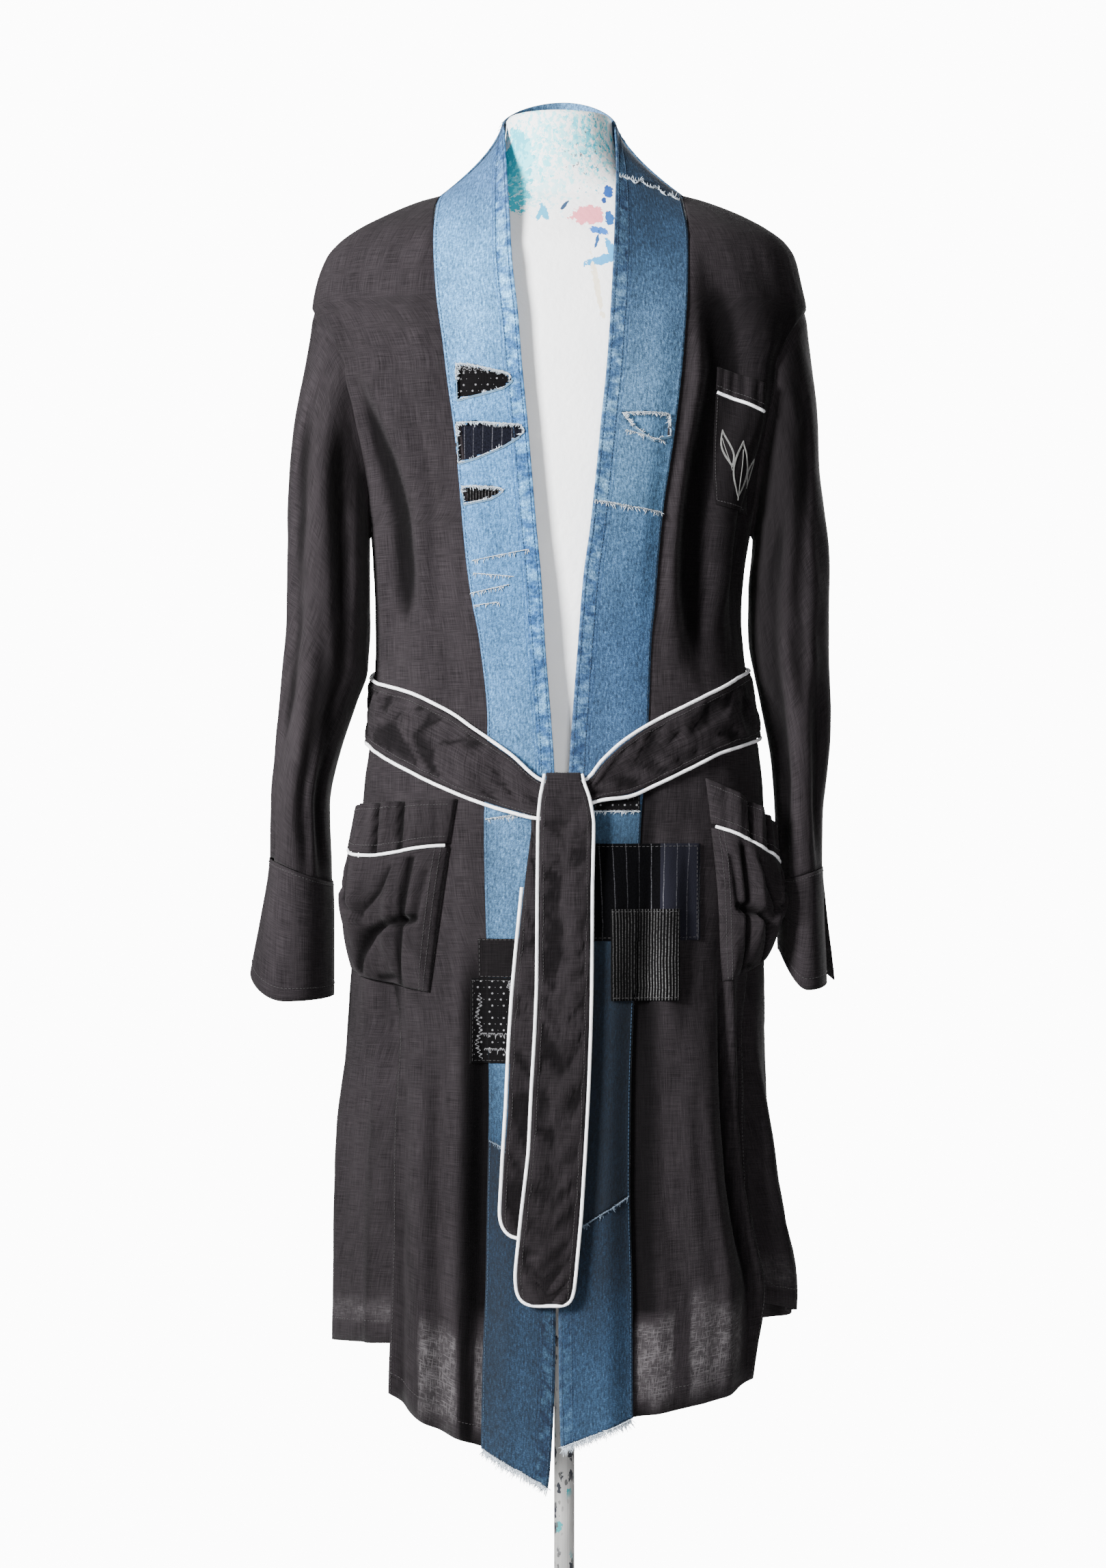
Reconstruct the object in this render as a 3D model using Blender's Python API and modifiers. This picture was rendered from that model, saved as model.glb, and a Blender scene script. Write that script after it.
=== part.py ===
"""A loose linen robe with pieced denim lapel bands, worn on a limbless dress form.

Metres, +Z up. The robe faces -Y, so the wearer's right side is at -X. The origin is the
centre of the stand's underside. The robe is drawn as level rings: a point of its shape is
given by an angle from the front centre (+90 degrees is +X, 180 the back) and a height.
Every panel, patch, pocket and the belt is made from those points, moved out or in.
"""
import math

import bmesh
import bpy
from mathutils import Vector

MM = 0.001

# Walls, gaps and tubes
LINEN_WALL = 1.2 * MM
DENIM_WALL = 2.0 * MM
PATCH_WALL = 1.0 * MM
BELT_WALL = 2.4 * MM
PIPING_RADIUS = 1.9 * MM
POCKET_PIPING_RADIUS = 1.6 * MM
PIPING_SLOT = 4.2 * MM
SEAM_GAP = 0.5 * MM
LAYER_GAP = 0.3 * MM
BAND_OUT = 0.25 * MM

# Heights on the robe
SHOULDER_POINT = 1.529
SHOULDER_TIP = 1.423
UNDERARM = 1.212
VENT_TOP = 0.80
VENT_TUCK = 0.0045
VENT_LAP = 6.0
HEM_TILT_TOP = 0.66
NECKLINE_RISE = 0.023
COLLAR_TOP = 1.632

# The stand
BASE_RADIUS = 0.180
BASE_THICKNESS = 0.012
BOSS_RADIUS = 0.024
BOSS_TOP = 0.040
POLE_RADIUS = 0.0097
FORM_BOTTOM = 0.838
FORM_TOP = 1.604
NECK_SHIFT = -0.005

# The robe's rings, from hem to neck
# height, half width at wearer's right, at wearer's left, front depth, back depth, squareness
RINGS = (
    (0.330, 0.2120, 0.2070, 0.1360, 0.1380, 2.20),
    (0.420, 0.2145, 0.2125, 0.1330, 0.1370, 2.20),
    (0.500, 0.2142, 0.2165, 0.1300, 0.1360, 2.20),
    (0.560, 0.2135, 0.2055, 0.1280, 0.1340, 2.20),
    (0.610, 0.2126, 0.1965, 0.1270, 0.1320, 2.20),
    (0.680, 0.2095, 0.1915, 0.1255, 0.1300, 2.20),
    (0.740, 0.2050, 0.1895, 0.1235, 0.1270, 2.20),
    (0.820, 0.2000, 0.1890, 0.1200, 0.1230, 2.20),
    (0.900, 0.1950, 0.1895, 0.1165, 0.1180, 2.20),
    (0.970, 0.1890, 0.1880, 0.1125, 0.1110, 2.20),
    (1.030, 0.1820, 0.1800, 0.1110, 0.1070, 2.20),
    (1.080, 0.1790, 0.1715, 0.1125, 0.1080, 2.20),
    (1.130, 0.1785, 0.1675, 0.1160, 0.1120, 2.20),
    (1.170, 0.1800, 0.1700, 0.1180, 0.1150, 2.20),
    (1.212, 0.1830, 0.1770, 0.1200, 0.1180, 2.20),
    (1.230, 0.1865, 0.1815, 0.1205, 0.1190, 2.20),
    (1.270, 0.1990, 0.1940, 0.1210, 0.1200, 2.20),
    (1.320, 0.2235, 0.2170, 0.1205, 0.1200, 2.15),
    (1.357, 0.2400, 0.2310, 0.1190, 0.1190, 2.10),
    (1.400, 0.2405, 0.2315, 0.1155, 0.1170, 2.05),
    (1.423, 0.2385, 0.2295, 0.1120, 0.1150, 2.00),
    (1.447, 0.2340, 0.2245, 0.1065, 0.1115, 2.00),
    (1.470, 0.2256, 0.2191, 0.0985, 0.1055, 2.00),
    (1.484, 0.2140, 0.2100, 0.0920, 0.1005, 2.00),
    (1.496, 0.1976, 0.1944, 0.0850, 0.0950, 2.00),
    (1.510, 0.1700, 0.1680, 0.0760, 0.0880, 2.00),
    (1.522, 0.1405, 0.1360, 0.0680, 0.0800, 2.00),
    (1.529, 0.1135, 0.1090, 0.0640, 0.0770, 2.00),
    (1.540, 0.0860, 0.0850, 0.0600, 0.0730, 2.00),
    (1.552, 0.0700, 0.0700, 0.0575, 0.0705, 2.00),
    (1.570, 0.0620, 0.0620, 0.0550, 0.0680, 2.00),
)

# Soft folds of the linen: angle, half width in degrees, top, bottom, depth (minus is a trough)
FOLDS = (
    (-41.0, 3.5, 0.80, 0.30, -0.0035),
    (-33.0, 5.0, 0.74, 0.30, 0.0030),
    (50.0, 4.5, 0.78, 0.30, -0.0045),
    (40.0, 5.0, 0.72, 0.30, 0.0030),
    (68.0, 6.0, 0.76, 0.36, 0.0040),
    (80.0, 5.0, 0.76, 0.36, -0.0050),
    (-70.0, 7.0, 0.74, 0.36, -0.0040),
    (40.0, 4.5, 1.47, 1.13, -0.0045),
    (60.0, 6.0, 1.24, 1.13, 0.0040),
    (-52.0, 5.0, 1.36, 1.13, -0.0040),
    (118.0, 7.0, 1.36, 1.13, 0.0050),
    (150.0, 8.0, 1.38, 1.13, -0.0045),
    (205.0, 8.0, 1.40, 1.13, -0.0050),
    (238.0, 7.0, 1.36, 1.13, 0.0045),
    (112.0, 6.0, 0.98, 0.36, -0.0060),
    (132.0, 7.0, 1.00, 0.36, 0.0060),
    (152.0, 7.0, 0.98, 0.36, -0.0070),
    (174.0, 8.0, 1.00, 0.36, 0.0060),
    (197.0, 7.0, 0.98, 0.36, -0.0070),
    (218.0, 7.0, 0.99, 0.36, 0.0060),
    (242.0, 7.0, 0.98, 0.36, -0.0060),
)

# Armhole, the same on both sides: height, degrees from the front (or back) centre
ARMHOLE = (
    (1.212, 90.0),
    (1.218, 84.0),
    (1.230, 78.5),
    (1.270, 68.0),
    (1.320, 60.0),
    (1.357, 57.0),
    (1.380, 61.0),
    (1.400, 68.0),
    (1.414, 77.0),
    (1.423, 90.0),
)

# Side seam, and below VENT_TOP the front's free vent edge: height, degrees at right, at left
SIDE_SEAM = (
    (0.400, 47.5, 53.5),
    (0.600, 46.5, 58.5),
    (0.735, 47.0, 59.5),
    (0.800, 54.0, 63.0),
    (0.860, 68.0, 76.0),
    (0.920, 78.0, 84.0),
    (1.000, 86.0, 88.0),
    (1.100, 90.0, 90.0),
    (1.212, 90.0, 90.0),
)

# Seam between a front and its lapel band: height, distance from the middle at right, at left
LAPEL_SEAM = (
    (0.340, 0.0779, 0.0638),
    (0.432, 0.0771, 0.0636),
    (0.510, 0.0741, 0.0632),
    (0.595, 0.0727, 0.0614),
    (0.686, 0.0708, 0.0621),
    (0.785, 0.0716, 0.0653),
    (0.930, 0.0743, 0.0703),
    (1.026, 0.0712, 0.0773),
    (1.102, 0.0786, 0.0803),
    (1.140, 0.0861, 0.0845),
    (1.178, 0.0917, 0.0876),
    (1.226, 0.0961, 0.0925),
    (1.291, 0.1018, 0.1022),
    (1.340, 0.1083, 0.1078),
    (1.380, 0.1130, 0.1112),
    (1.424, 0.1186, 0.1136),
    (1.478, 0.1217, 0.1148),
    (1.510, 0.1205, 0.1118),
    (1.522, 0.1172, 0.1102),
    (1.529, 0.1135, 0.1090),
)

# Free edge of the lapel bands: height, X at wearer's right, X at wearer's left
FREE_EDGE = (
    (0.325, -0.0155, -0.0030),
    (0.350, -0.0129, -0.0034),
    (0.433, -0.0088, -0.0054),
    (0.491, -0.0082, -0.0057),
    (0.880, -0.0084, -0.0056),
    (0.976, -0.0092, 0.0034),
    (1.020, -0.0117, 0.0062),
    (1.101, -0.0180, 0.0122),
    (1.159, -0.0214, 0.0168),
    (1.206, -0.0258, 0.0232),
    (1.264, -0.0306, 0.0294),
    (1.307, -0.0343, 0.0335),
    (1.355, -0.0390, 0.0385),
    (1.405, -0.0430, 0.0420),
    (1.455, -0.0485, 0.0448),
    (1.507, -0.0515, 0.0470),
    (1.560, -0.0550, 0.0486),
    (1.597, -0.0580, 0.0478),
)

# Upper end of a lapel band, where it leaves the chest and stands up beside the neck
# seam height, free edge height, free edge Y, bow towards the neck, bow upwards
BAND_RISE = (
    (1.380, 1.380, -0.1190, -0.0040, 0.0000),
    (1.400, 1.402, -0.1165, -0.0040, 0.0000),
    (1.423, 1.432, -0.1110, -0.0030, 0.0000),
    (1.452, 1.474, -0.0990, -0.0010, 0.0000),
    (1.474, 1.505, -0.0850, 0.0020, 0.0000),
    (1.490, 1.530, -0.0700, 0.0060, 0.0010),
    (1.502, 1.548, -0.0570, 0.0100, 0.0020),
    (1.511, 1.562, -0.0450, 0.0140, 0.0030),
    (1.519, 1.577, -0.0320, 0.0190, 0.0045),
    (1.529, 1.597, -0.0130, 0.0250, 0.0060),
)

# How far the hem tilts down from a front's outer corner, across the panel and the band
HEM = {
    "right": {"outer": 0.4080, "seam": 0.3632, "edge": 0.3290},
    "left": {"outer": 0.4190, "seam": 0.3905, "edge": 0.3660},
    "back": {"right": 0.4550, "middle": 0.4330, "left": 0.4930},
}

# Rows shared by the panels, the armholes and the bands, from the shoulder down
BODY_ROWS = (
    1.5265, 1.519, 1.511, 1.502, 1.493, 1.483, 1.471, 1.457, 1.441, 1.423, 1.414, 1.400,
    1.380, 1.354, 1.325, 1.295, 1.262, 1.230, 1.212, 1.175, 1.135, 1.095, 1.055, 1.015,
    0.970, 0.920, 0.870, 0.825, 0.785, 0.735, 0.680, 0.620, 0.550, 0.475, 0.400,
)

# Sleeve rings: height, outer side, inner side, half depth, middle Y
SLEEVE = {
    "right": (
        (0.760, 0.3030, 0.2200, 0.0700, 0.004),
        (0.800, 0.2965, 0.2197, 0.0690, 0.004),
        (0.845, 0.2880, 0.2197, 0.0660, 0.004),
        (0.895, 0.2800, 0.2215, 0.0640, 0.004),
        (0.950, 0.2776, 0.2235, 0.0640, 0.004),
        (1.002, 0.2720, 0.2130, 0.0660, 0.003),
        (1.050, 0.2680, 0.1975, 0.0690, 0.002),
        (1.080, 0.2660, 0.1870, 0.0710, 0.001),
        (1.132, 0.2610, 0.1850, 0.0740, 0.000),
        (1.210, 0.2610, 0.1868, 0.0770, 0.000),
        (1.262, 0.2600, 0.1900, 0.0780, 0.000),
        (1.340, 0.2520, 0.1900, 0.0760, 0.000),
        (1.423, 0.2410, 0.1900, 0.0650, 0.000),
    ),
    "left": (
        (0.760, 0.2500, 0.2060, 0.0680, 0.012),
        (0.800, 0.2490, 0.2050, 0.0680, 0.012),
        (0.845, 0.2470, 0.2040, 0.0660, 0.012),
        (0.895, 0.2458, 0.2030, 0.0640, 0.012),
        (0.950, 0.2450, 0.2010, 0.0640, 0.010),
        (1.002, 0.2470, 0.1960, 0.0660, 0.007),
        (1.050, 0.2490, 0.1870, 0.0690, 0.004),
        (1.106, 0.2490, 0.1760, 0.0720, 0.002),
        (1.158, 0.2480, 0.1745, 0.0740, 0.001),
        (1.210, 0.2450, 0.1808, 0.0770, 0.000),
        (1.262, 0.2415, 0.1840, 0.0780, 0.000),
        (1.340, 0.2385, 0.1840, 0.0760, 0.000),
        (1.423, 0.2320, 0.1840, 0.0650, 0.000),
    ),
}
SLEEVE_SEAM = {"right": (0.902, 0.878), "left": (0.893, 0.880)}
SLEEVE_BLEND = 0.12
SLEEVE_SET_OUT = 1.2 * MM
SLEEVE_UNDERARM_OUT = 1.0 * MM
SLEEVE_SET_DOWN = 0.9 * MM
SLEEVE_ROWS = (0.0, 0.025, 0.07, 0.13, 0.21, 0.31, 0.43, 0.55, 0.67, 0.79, 0.90, 1.0)

# Cuffs: lowest height at outer side, front, inner side and back, with the slit at the outer side
CUFF_HEM = {"right": (0.7930, 0.7680, 0.7700, 0.7850), "left": (0.7830, 0.7780, 0.8130, 0.8050)}
CUFF_SLIT = {"right": 1.5, "left": 13.0}
CUFF_SLIT_BACK = 0.4
CUFF_MEET = 0.4
CUFF_UNDER_SLEEVE = 0.7 * MM
CUFF_FLARE = {"right": 0.000, "left": 0.009}

# The dress form: height, half width, front depth, back depth
FORM = (
    (0.838, 0.0300, 0.0250, 0.0250),
    (0.839, 0.1200, 0.0700, 0.0760),
    (0.843, 0.1540, 0.0900, 0.0960),
    (0.856, 0.1620, 0.0960, 0.1030),
    (0.900, 0.1620, 0.0970, 0.1030),
    (0.960, 0.1520, 0.0930, 0.0940),
    (1.030, 0.1440, 0.0910, 0.0840),
    (1.090, 0.1450, 0.0950, 0.0880),
    (1.150, 0.1520, 0.1010, 0.0960),
    (1.212, 0.1600, 0.1060, 0.1030),
    (1.270, 0.1690, 0.1080, 0.1070),
    (1.320, 0.1800, 0.1080, 0.1080),
    (1.360, 0.1900, 0.1060, 0.1070),
    (1.400, 0.2000, 0.1020, 0.1050),
    (1.430, 0.2060, 0.0980, 0.1020),
    (1.452, 0.2090, 0.0930, 0.0990),
)
# Rings of the form that follow the robe's shoulders just below the cloth
FORM_SHOULDER_ROWS = (1.471, 1.483, 1.493, 1.502, 1.511, 1.519, 1.5255)
# Rings of the form's neck: height, half width, front depth, back depth
FORM_NECK = (
    (1.5340, 0.0830, 0.0560, 0.0640),
    (1.5440, 0.0670, 0.0535, 0.0580),
    (1.5560, 0.0590, 0.0520, 0.0545),
    (1.5720, 0.0535, 0.0505, 0.0520),
    (1.5900, 0.0510, 0.0495, 0.0505),
    (1.6000, 0.0502, 0.0490, 0.0500),
    (1.6032, 0.0480, 0.0470, 0.0480),
)
FORM_DROP = 1.5 * MM
FORM_INSET = 0.8 * MM
FORM_SIDES = 20

# Belt round the waist: angle, top edge, bottom edge
BELT = (
    (-180.0, 1.0850, 1.0270),
    (-130.0, 1.0820, 1.0240),
    (-100.0, 1.0740, 1.0170),
    (-75.0, 1.0645, 1.0085),
    (-51.0, 1.0540, 0.9890),
    (-36.0, 1.0375, 0.9715),
    (-25.5, 1.0172, 0.9585),
    (-15.6, 0.9960, 0.9480),
    (-6.0, 0.9710, 0.9410),
    (0.0, 0.9670, 0.9420),
    (6.0, 0.9720, 0.9540),
    (10.8, 0.9900, 0.9585),
    (17.0, 1.0080, 0.9610),
    (26.0, 1.0250, 0.9730),
    (36.0, 1.0390, 0.9870),
    (50.0, 1.0545, 1.0030),
    (72.0, 1.0710, 1.0130),
    (100.0, 1.0780, 1.0190),
    (130.0, 1.0830, 1.0240),
    (180.0, 1.0850, 1.0270),
)
BELT_COLUMNS = 48
KNOT_ROOM = 0.0052
KNOT_REACH = (7.0, 24.0)

# Belt tails: height, left edge, right edge
TAIL_FRONT = (
    (0.4980, -0.0320, 0.0005),
    (0.5020, -0.0395, 0.0045),
    (0.5110, -0.0425, 0.0065),
    (0.5250, -0.0430, 0.0080),
    (0.5780, -0.0376, 0.0130),
    (0.6340, -0.0310, 0.0165),
    (0.6900, -0.0284, 0.0195),
    (0.7860, -0.0234, 0.0225),
    (0.8770, -0.0228, 0.0232),
    (0.9370, -0.0222, 0.0244),
    (0.9580, -0.0204, 0.0207),
    (0.9745, -0.0170, 0.0145),
)
TAIL_REAR = (
    (0.5580, -0.0430, -0.0150),
    (0.5600, -0.0500, -0.0100),
    (0.5680, -0.0560, -0.0075),
    (0.5780, -0.0575, -0.0070),
    (0.6600, -0.0525, -0.0030),
    (0.7560, -0.0481, 0.0010),
    (0.8000, -0.0443, 0.0040),
    (0.8760, -0.0370, 0.0070),
    (0.9150, -0.0320, -0.0080),
    (0.9340, -0.0300, -0.0215),
    (0.9520, -0.0290, -0.0215),
)
TAIL_FRONT_ROWS = (
    0.958, 0.937, 0.910, 0.877, 0.835, 0.786, 0.740, 0.690, 0.634, 0.578, 0.525, 0.511,
    0.502, 0.498,
)
TAIL_REAR_ROWS = (
    0.952, 0.934, 0.915, 0.876, 0.830, 0.780, 0.730, 0.680, 0.630, 0.578, 0.568, 0.560,
    0.558,
)
TAIL_FRONT_OUT = 0.0105
TAIL_REAR_OUT = (0.0030, 0.0056)
FOLD_OUT = (0.0034, 0.0148)
FOLD_CENTRE = 0.9745
FOLD_BACK_END = 0.9400

# Hip pockets: degrees at the inner and outer edges (top, bottom), heights (inner, outer)
HIP_POCKET = {
    "right": {
        "inner": (30.5, 36.5), "outer": (80.0, 79.0),
        "top": (0.9570, 0.9480), "piping": (0.9120, 0.9060), "bottom": (0.7790, 0.7980),
        "bulge": 0.027, "mouth": 0.015, "dip": 0.008,
    },
    "left": {
        "inner": (42.0, 49.0), "outer": (84.0, 80.0),
        "top": (0.9760, 0.9120), "piping": (0.9300, 0.8860), "bottom": (0.7880, 0.8080),
        "bulge": 0.027, "mouth": 0.017, "dip": 0.004,
    },
}
# Chest pocket on the wearer's left: X of the inner and outer edges, heights (inner, outer)
CHEST_POCKET = {
    "inner": (0.1440, 0.1400), "outer": (0.1840, 0.1740),
    "top": (1.3570, 1.3430), "piping": (1.3310, 1.3160), "bottom": (1.2300, 1.2230),
}

# Patches on the outside: name, X range, height range, layer, finish
PATCHES = (
    ("patch_black", (-0.0800, -0.0380), (0.8290, 0.7950), 1, "plain_black"),
    ("patch_bandana", (-0.0860, -0.0360), (0.7930, 0.7150), 1, "bandana"),
    ("patch_bandana_strip", (0.0270, 0.0690), (0.9485, 0.9370), 1, "bandana"),
    ("patch_pinstripe", (0.0240, 0.1240), (0.9160, 0.8270), 1, "pinstripe"),
    ("patch_fine_stripe", (0.0420, 0.1035), (0.8560, 0.7720), 2, "fine_stripe"),
)

# Rips in the bands, as seen from the front: X, height pairs round each hole
RIPS = {
    "rip_bandana": ("band_right_chest", "bandana", (
        (-0.0990, 1.3590), (-0.0760, 1.3555), (-0.0520, 1.3520), (-0.0455, 1.3450),
        (-0.0510, 1.3370), (-0.0760, 1.3295), (-0.0975, 1.3245))),
    "rip_pinstripe": ("band_right_chest", "pinstripe", (
        (-0.0965, 1.3060), (-0.0690, 1.3040), (-0.0460, 1.3000), (-0.0390, 1.2940),
        (-0.0470, 1.2870), (-0.0700, 1.2760), (-0.0940, 1.2670))),
    "rip_fine_stripe": ("band_right_chest", "fine_stripe", (
        (-0.0915, 1.2450), (-0.0700, 1.2430), (-0.0500, 1.2375), (-0.0600, 1.2310),
        (-0.0900, 1.2265))),
    "rip_denim": ("band_left_chest", "denim", (
        (0.0960, 1.3110), (0.0740, 1.3090), (0.0540, 1.3040), (0.0660, 1.2950),
        (0.0780, 1.2870), (0.0950, 1.2880))),
}
RIP_PATCH_MARGIN = 0.006

# Colour, roughness and metallic value of each finish
LOOKS = {
    "linen": ((0.030, 0.027, 0.029), 0.85, 0.0),
    "denim": ((0.150, 0.260, 0.450), 0.80, 0.0),
    "denim_dark": ((0.045, 0.085, 0.170), 0.80, 0.0),
    "plain_black": ((0.020, 0.019, 0.021), 0.80, 0.0),
    "bandana": ((0.035, 0.034, 0.038), 0.80, 0.0),
    "pinstripe": ((0.022, 0.024, 0.036), 0.80, 0.0),
    "fine_stripe": ((0.040, 0.040, 0.046), 0.80, 0.0),
    "piping": ((0.860, 0.860, 0.870), 0.60, 0.0),
    "form": ((0.800, 0.800, 0.800), 0.55, 0.0),
    "pole": ((0.620, 0.620, 0.620), 0.40, 0.8),
    "base": ((0.550, 0.550, 0.550), 0.45, 0.8),
}


def curve_value(keys, values, key):
    """Value at a key on a smooth curve through a table, without overshoot."""
    if key <= keys[0]:
        return values[0]
    if key >= keys[-1]:
        return values[-1]
    index = 0
    while keys[index + 1] < key:
        index += 1

    def rise(step):
        return (values[step + 1] - values[step]) / (keys[step + 1] - keys[step])

    def slope(point):
        if point == 0:
            return rise(0)
        if point == len(keys) - 1:
            return rise(point - 1)
        before = rise(point - 1)
        after = rise(point)
        if before * after <= 0.0:
            return 0.0
        return 2.0 * before * after / (before + after)

    span = keys[index + 1] - keys[index]
    part = (key - keys[index]) / span
    start, end = values[index], values[index + 1]
    square, cube = part * part, part * part * part
    return (start * (2 * cube - 3 * square + 1) + end * (3 * square - 2 * cube)
            + slope(index) * span * (cube - 2 * square + part) + slope(index + 1) * span * (cube - square))


def column_curves(table):
    """One smooth curve for each value column of a table whose first column is the key."""
    keys = [row[0] for row in table]
    return [
        (lambda key, values=[row[number] for row in table]: curve_value(keys, values, key))
        for number in range(1, len(table[0]))
    ]


ring_right, ring_left, ring_front, ring_back, ring_power = column_curves(RINGS)
armhole_angle = column_curves(ARMHOLE)[0]
side_right, side_left = column_curves(SIDE_SEAM)
lapel_right, lapel_left = column_curves(LAPEL_SEAM)
edge_right, edge_left = column_curves(FREE_EDGE)
rise_height, rise_depth, rise_bow, rise_lift = column_curves(BAND_RISE)
belt_top, belt_bottom = column_curves(BELT)


def ease(value, start, end):
    """0 before start, 1 after end, and a soft step between (start may be the larger)."""
    part = min(1.0, max(0.0, (value - start) / (end - start)))
    return part * part * (3.0 - 2.0 * part)


def blend(start, end, part):
    return start + (end - start) * part


def seam_calm(angle, height):
    """0 at the lapel seams and armholes, where the cloth lies flat, and 1 away from them."""
    turn = abs((angle + 180.0) % 360.0 - 180.0)
    side = "left" if (angle + 180.0) % 360.0 > 180.0 else "right"
    calm = 1.0
    if turn < 90.0:
        seam = abs(angle_at(lapel_x(side, height), height))
        calm *= ease(turn, seam + 0.5, seam + 6.0)
    if UNDERARM < height < SHOULDER_TIP:
        hole = armhole_angle(height)
        from_hole = hole - turn if turn < 90.0 else turn - 180.0 + hole
        calm *= ease(from_hole, 0.5, 7.0)
    return calm * ease(height, 1.50, 1.44)


def fold_relief(angle, height):
    """How far the folds lift or sink the cloth at this place."""
    total = 0.0
    for middle, half_width, top, bottom, depth in FOLDS:
        turn = (angle - middle + 180.0) % 360.0 - 180.0
        if abs(turn) < 2.0 * half_width:
            across = math.cos(0.25 * math.pi * turn / half_width) ** 2
            along = ease(height, top, top - 0.12) * ease(height, bottom - 0.02, bottom + 0.05)
            total += depth * across * along
    return total * seam_calm(angle, height) if total else 0.0


def shape_point(angle, height):
    """Point of the robe's shape, on the level ring of this height."""
    turn = math.radians(angle)
    side, front = math.sin(turn), math.cos(turn)
    power = ring_power(height)
    half_width = ring_left(height) if side > 0.0 else ring_right(height)
    depth = ring_front(height) if front > 0.0 else ring_back(height)
    reach = (abs(side) ** power + abs(front) ** power) ** (-1.0 / power)
    return Vector((half_width * side * reach, -depth * front * reach, height))


def shape_normal(angle, height):
    around = shape_point(angle + 0.5, height) - shape_point(angle - 0.5, height)
    upward = shape_point(angle, height + MM) - shape_point(angle, height - MM)
    return around.cross(upward).normalized()


def on_robe(angle, height, out=0.0):
    """Point on the cloth with its folds, moved out along the normal."""
    return shape_point(angle, height) + shape_normal(angle, height) * (out + fold_relief(angle, height))


def angle_at(x, height):
    """Angle on the front half at which the ring of this height has this X."""
    half_width = ring_left(height) if x > 0.0 else ring_right(height)
    power = ring_power(height)
    share = min(abs(x) / half_width, 0.99999)
    if share < 1e-6:
        return 0.0
    cotangent = (share ** -power - 1.0) ** (1.0 / power)
    return math.copysign(math.degrees(math.atan2(1.0, cotangent)), x)


def gap_angle(angle, height, gap):
    """Turn that moves a point of the ring along by a gap."""
    step = (shape_point(angle + 0.5, height) - shape_point(angle - 0.5, height)).length
    return gap / step


def lapel_x(side, height):
    return -lapel_right(height) if side == "right" else lapel_left(height)


def edge_x(side, height):
    return edge_right(height) if side == "right" else edge_left(height)


def side_angle(side, height):
    """Outer boundary of a front: shoulder ridge, armhole, side seam, vent edge."""
    if height >= SHOULDER_TIP:
        return 90.0
    if height >= UNDERARM:
        return armhole_angle(height)
    return side_right(height) if side == "right" else side_left(height)


def row_height(rows, down):
    place = down * (len(rows) - 1)
    index = min(int(place), len(rows) - 2)
    return blend(rows[index], rows[index + 1], place - index)


def hem_height(height, lowest):
    """Height of a row after the rows near the hem are spread down to it."""
    if height >= HEM_TILT_TOP:
        return height
    share = (HEM_TILT_TOP - height) / (HEM_TILT_TOP - BODY_ROWS[-1])
    return blend(HEM_TILT_TOP, lowest, share)


def make_material(name):
    colour, roughness, metallic = LOOKS[name]
    material = bpy.data.materials.get(name) or bpy.data.materials.new(name)
    material.use_nodes = True
    shader = material.node_tree.nodes["Principled BSDF"]
    shader.inputs["Base Color"].default_value = (*colour, 1.0)
    shader.inputs["Roughness"].default_value = roughness
    shader.inputs["Metallic"].default_value = metallic
    material.diffuse_color = (*colour, 1.0)
    return material


def finish(item, name, look, collection):
    """Name a part, give it its finish and file it in its collection."""
    item.name = name
    item.data.name = name
    item.data.materials.clear()
    item.data.materials.append(make_material(look))
    for old in list(item.users_collection):
        old.objects.unlink(item)
    collection.objects.link(item)
    return item


def cloth(name, columns, rows, place, wall, look, closed=False):
    """An even wall through a grid of points; place(across, down) gives each point."""
    bpy.ops.mesh.primitive_grid_add(x_subdivisions=columns, y_subdivisions=rows, size=2.0)
    sheet = bpy.context.object
    for vertex in sheet.data.vertices:
        across = round((vertex.co.x + 1.0) / 2.0 * columns) / columns
        down = round((1.0 - vertex.co.y) / 2.0 * rows) / rows
        vertex.co = place(across, down)
    if closed:
        mesh = bmesh.new()
        mesh.from_mesh(sheet.data)
        bmesh.ops.remove_doubles(mesh, verts=mesh.verts, dist=1e-6)
        mesh.to_mesh(sheet.data)
        mesh.free()
    sheet.data.shade_smooth()
    thicken = sheet.modifiers.new("wall", "SOLIDIFY")
    thicken.thickness = wall
    thicken.offset = 0.0
    thicken.use_quality_normals = True
    return finish(sheet, name, look, PARTS)


def tube(name, points, radius, look, closed=False):
    """A round cord along points, with filled ends."""
    data = bpy.data.curves.new(name, "CURVE")
    data.dimensions = "3D"
    data.bevel_depth = radius
    data.bevel_resolution = 1
    data.use_fill_caps = not closed
    spline = data.splines.new("POLY")
    spline.points.add(len(points) - 1)
    for item, point in zip(spline.points, points):
        item.co = (*point, 1.0)
    spline.use_cyclic_u = closed
    cord = bpy.data.objects.new(name, data)
    bpy.context.scene.collection.objects.link(cord)
    return finish(cord, name, look, PARTS)


def turned(name, profile, look, steps=32):
    """A solid of revolution about the vertical through the origin."""
    mesh = bpy.data.meshes.new(name)
    edges = [(index, index + 1) for index in range(len(profile) - 1)]
    mesh.from_pydata([(radius, 0.0, height) for radius, height in profile], edges, [])
    item = bpy.data.objects.new(name, mesh)
    bpy.context.scene.collection.objects.link(item)
    screw = item.modifiers.new("turn", "SCREW")
    screw.steps = steps
    screw.render_steps = steps
    screw.use_merge_vertices = True
    screw.merge_threshold = 0.00001
    return finish(item, name, look, PARTS)


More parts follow.
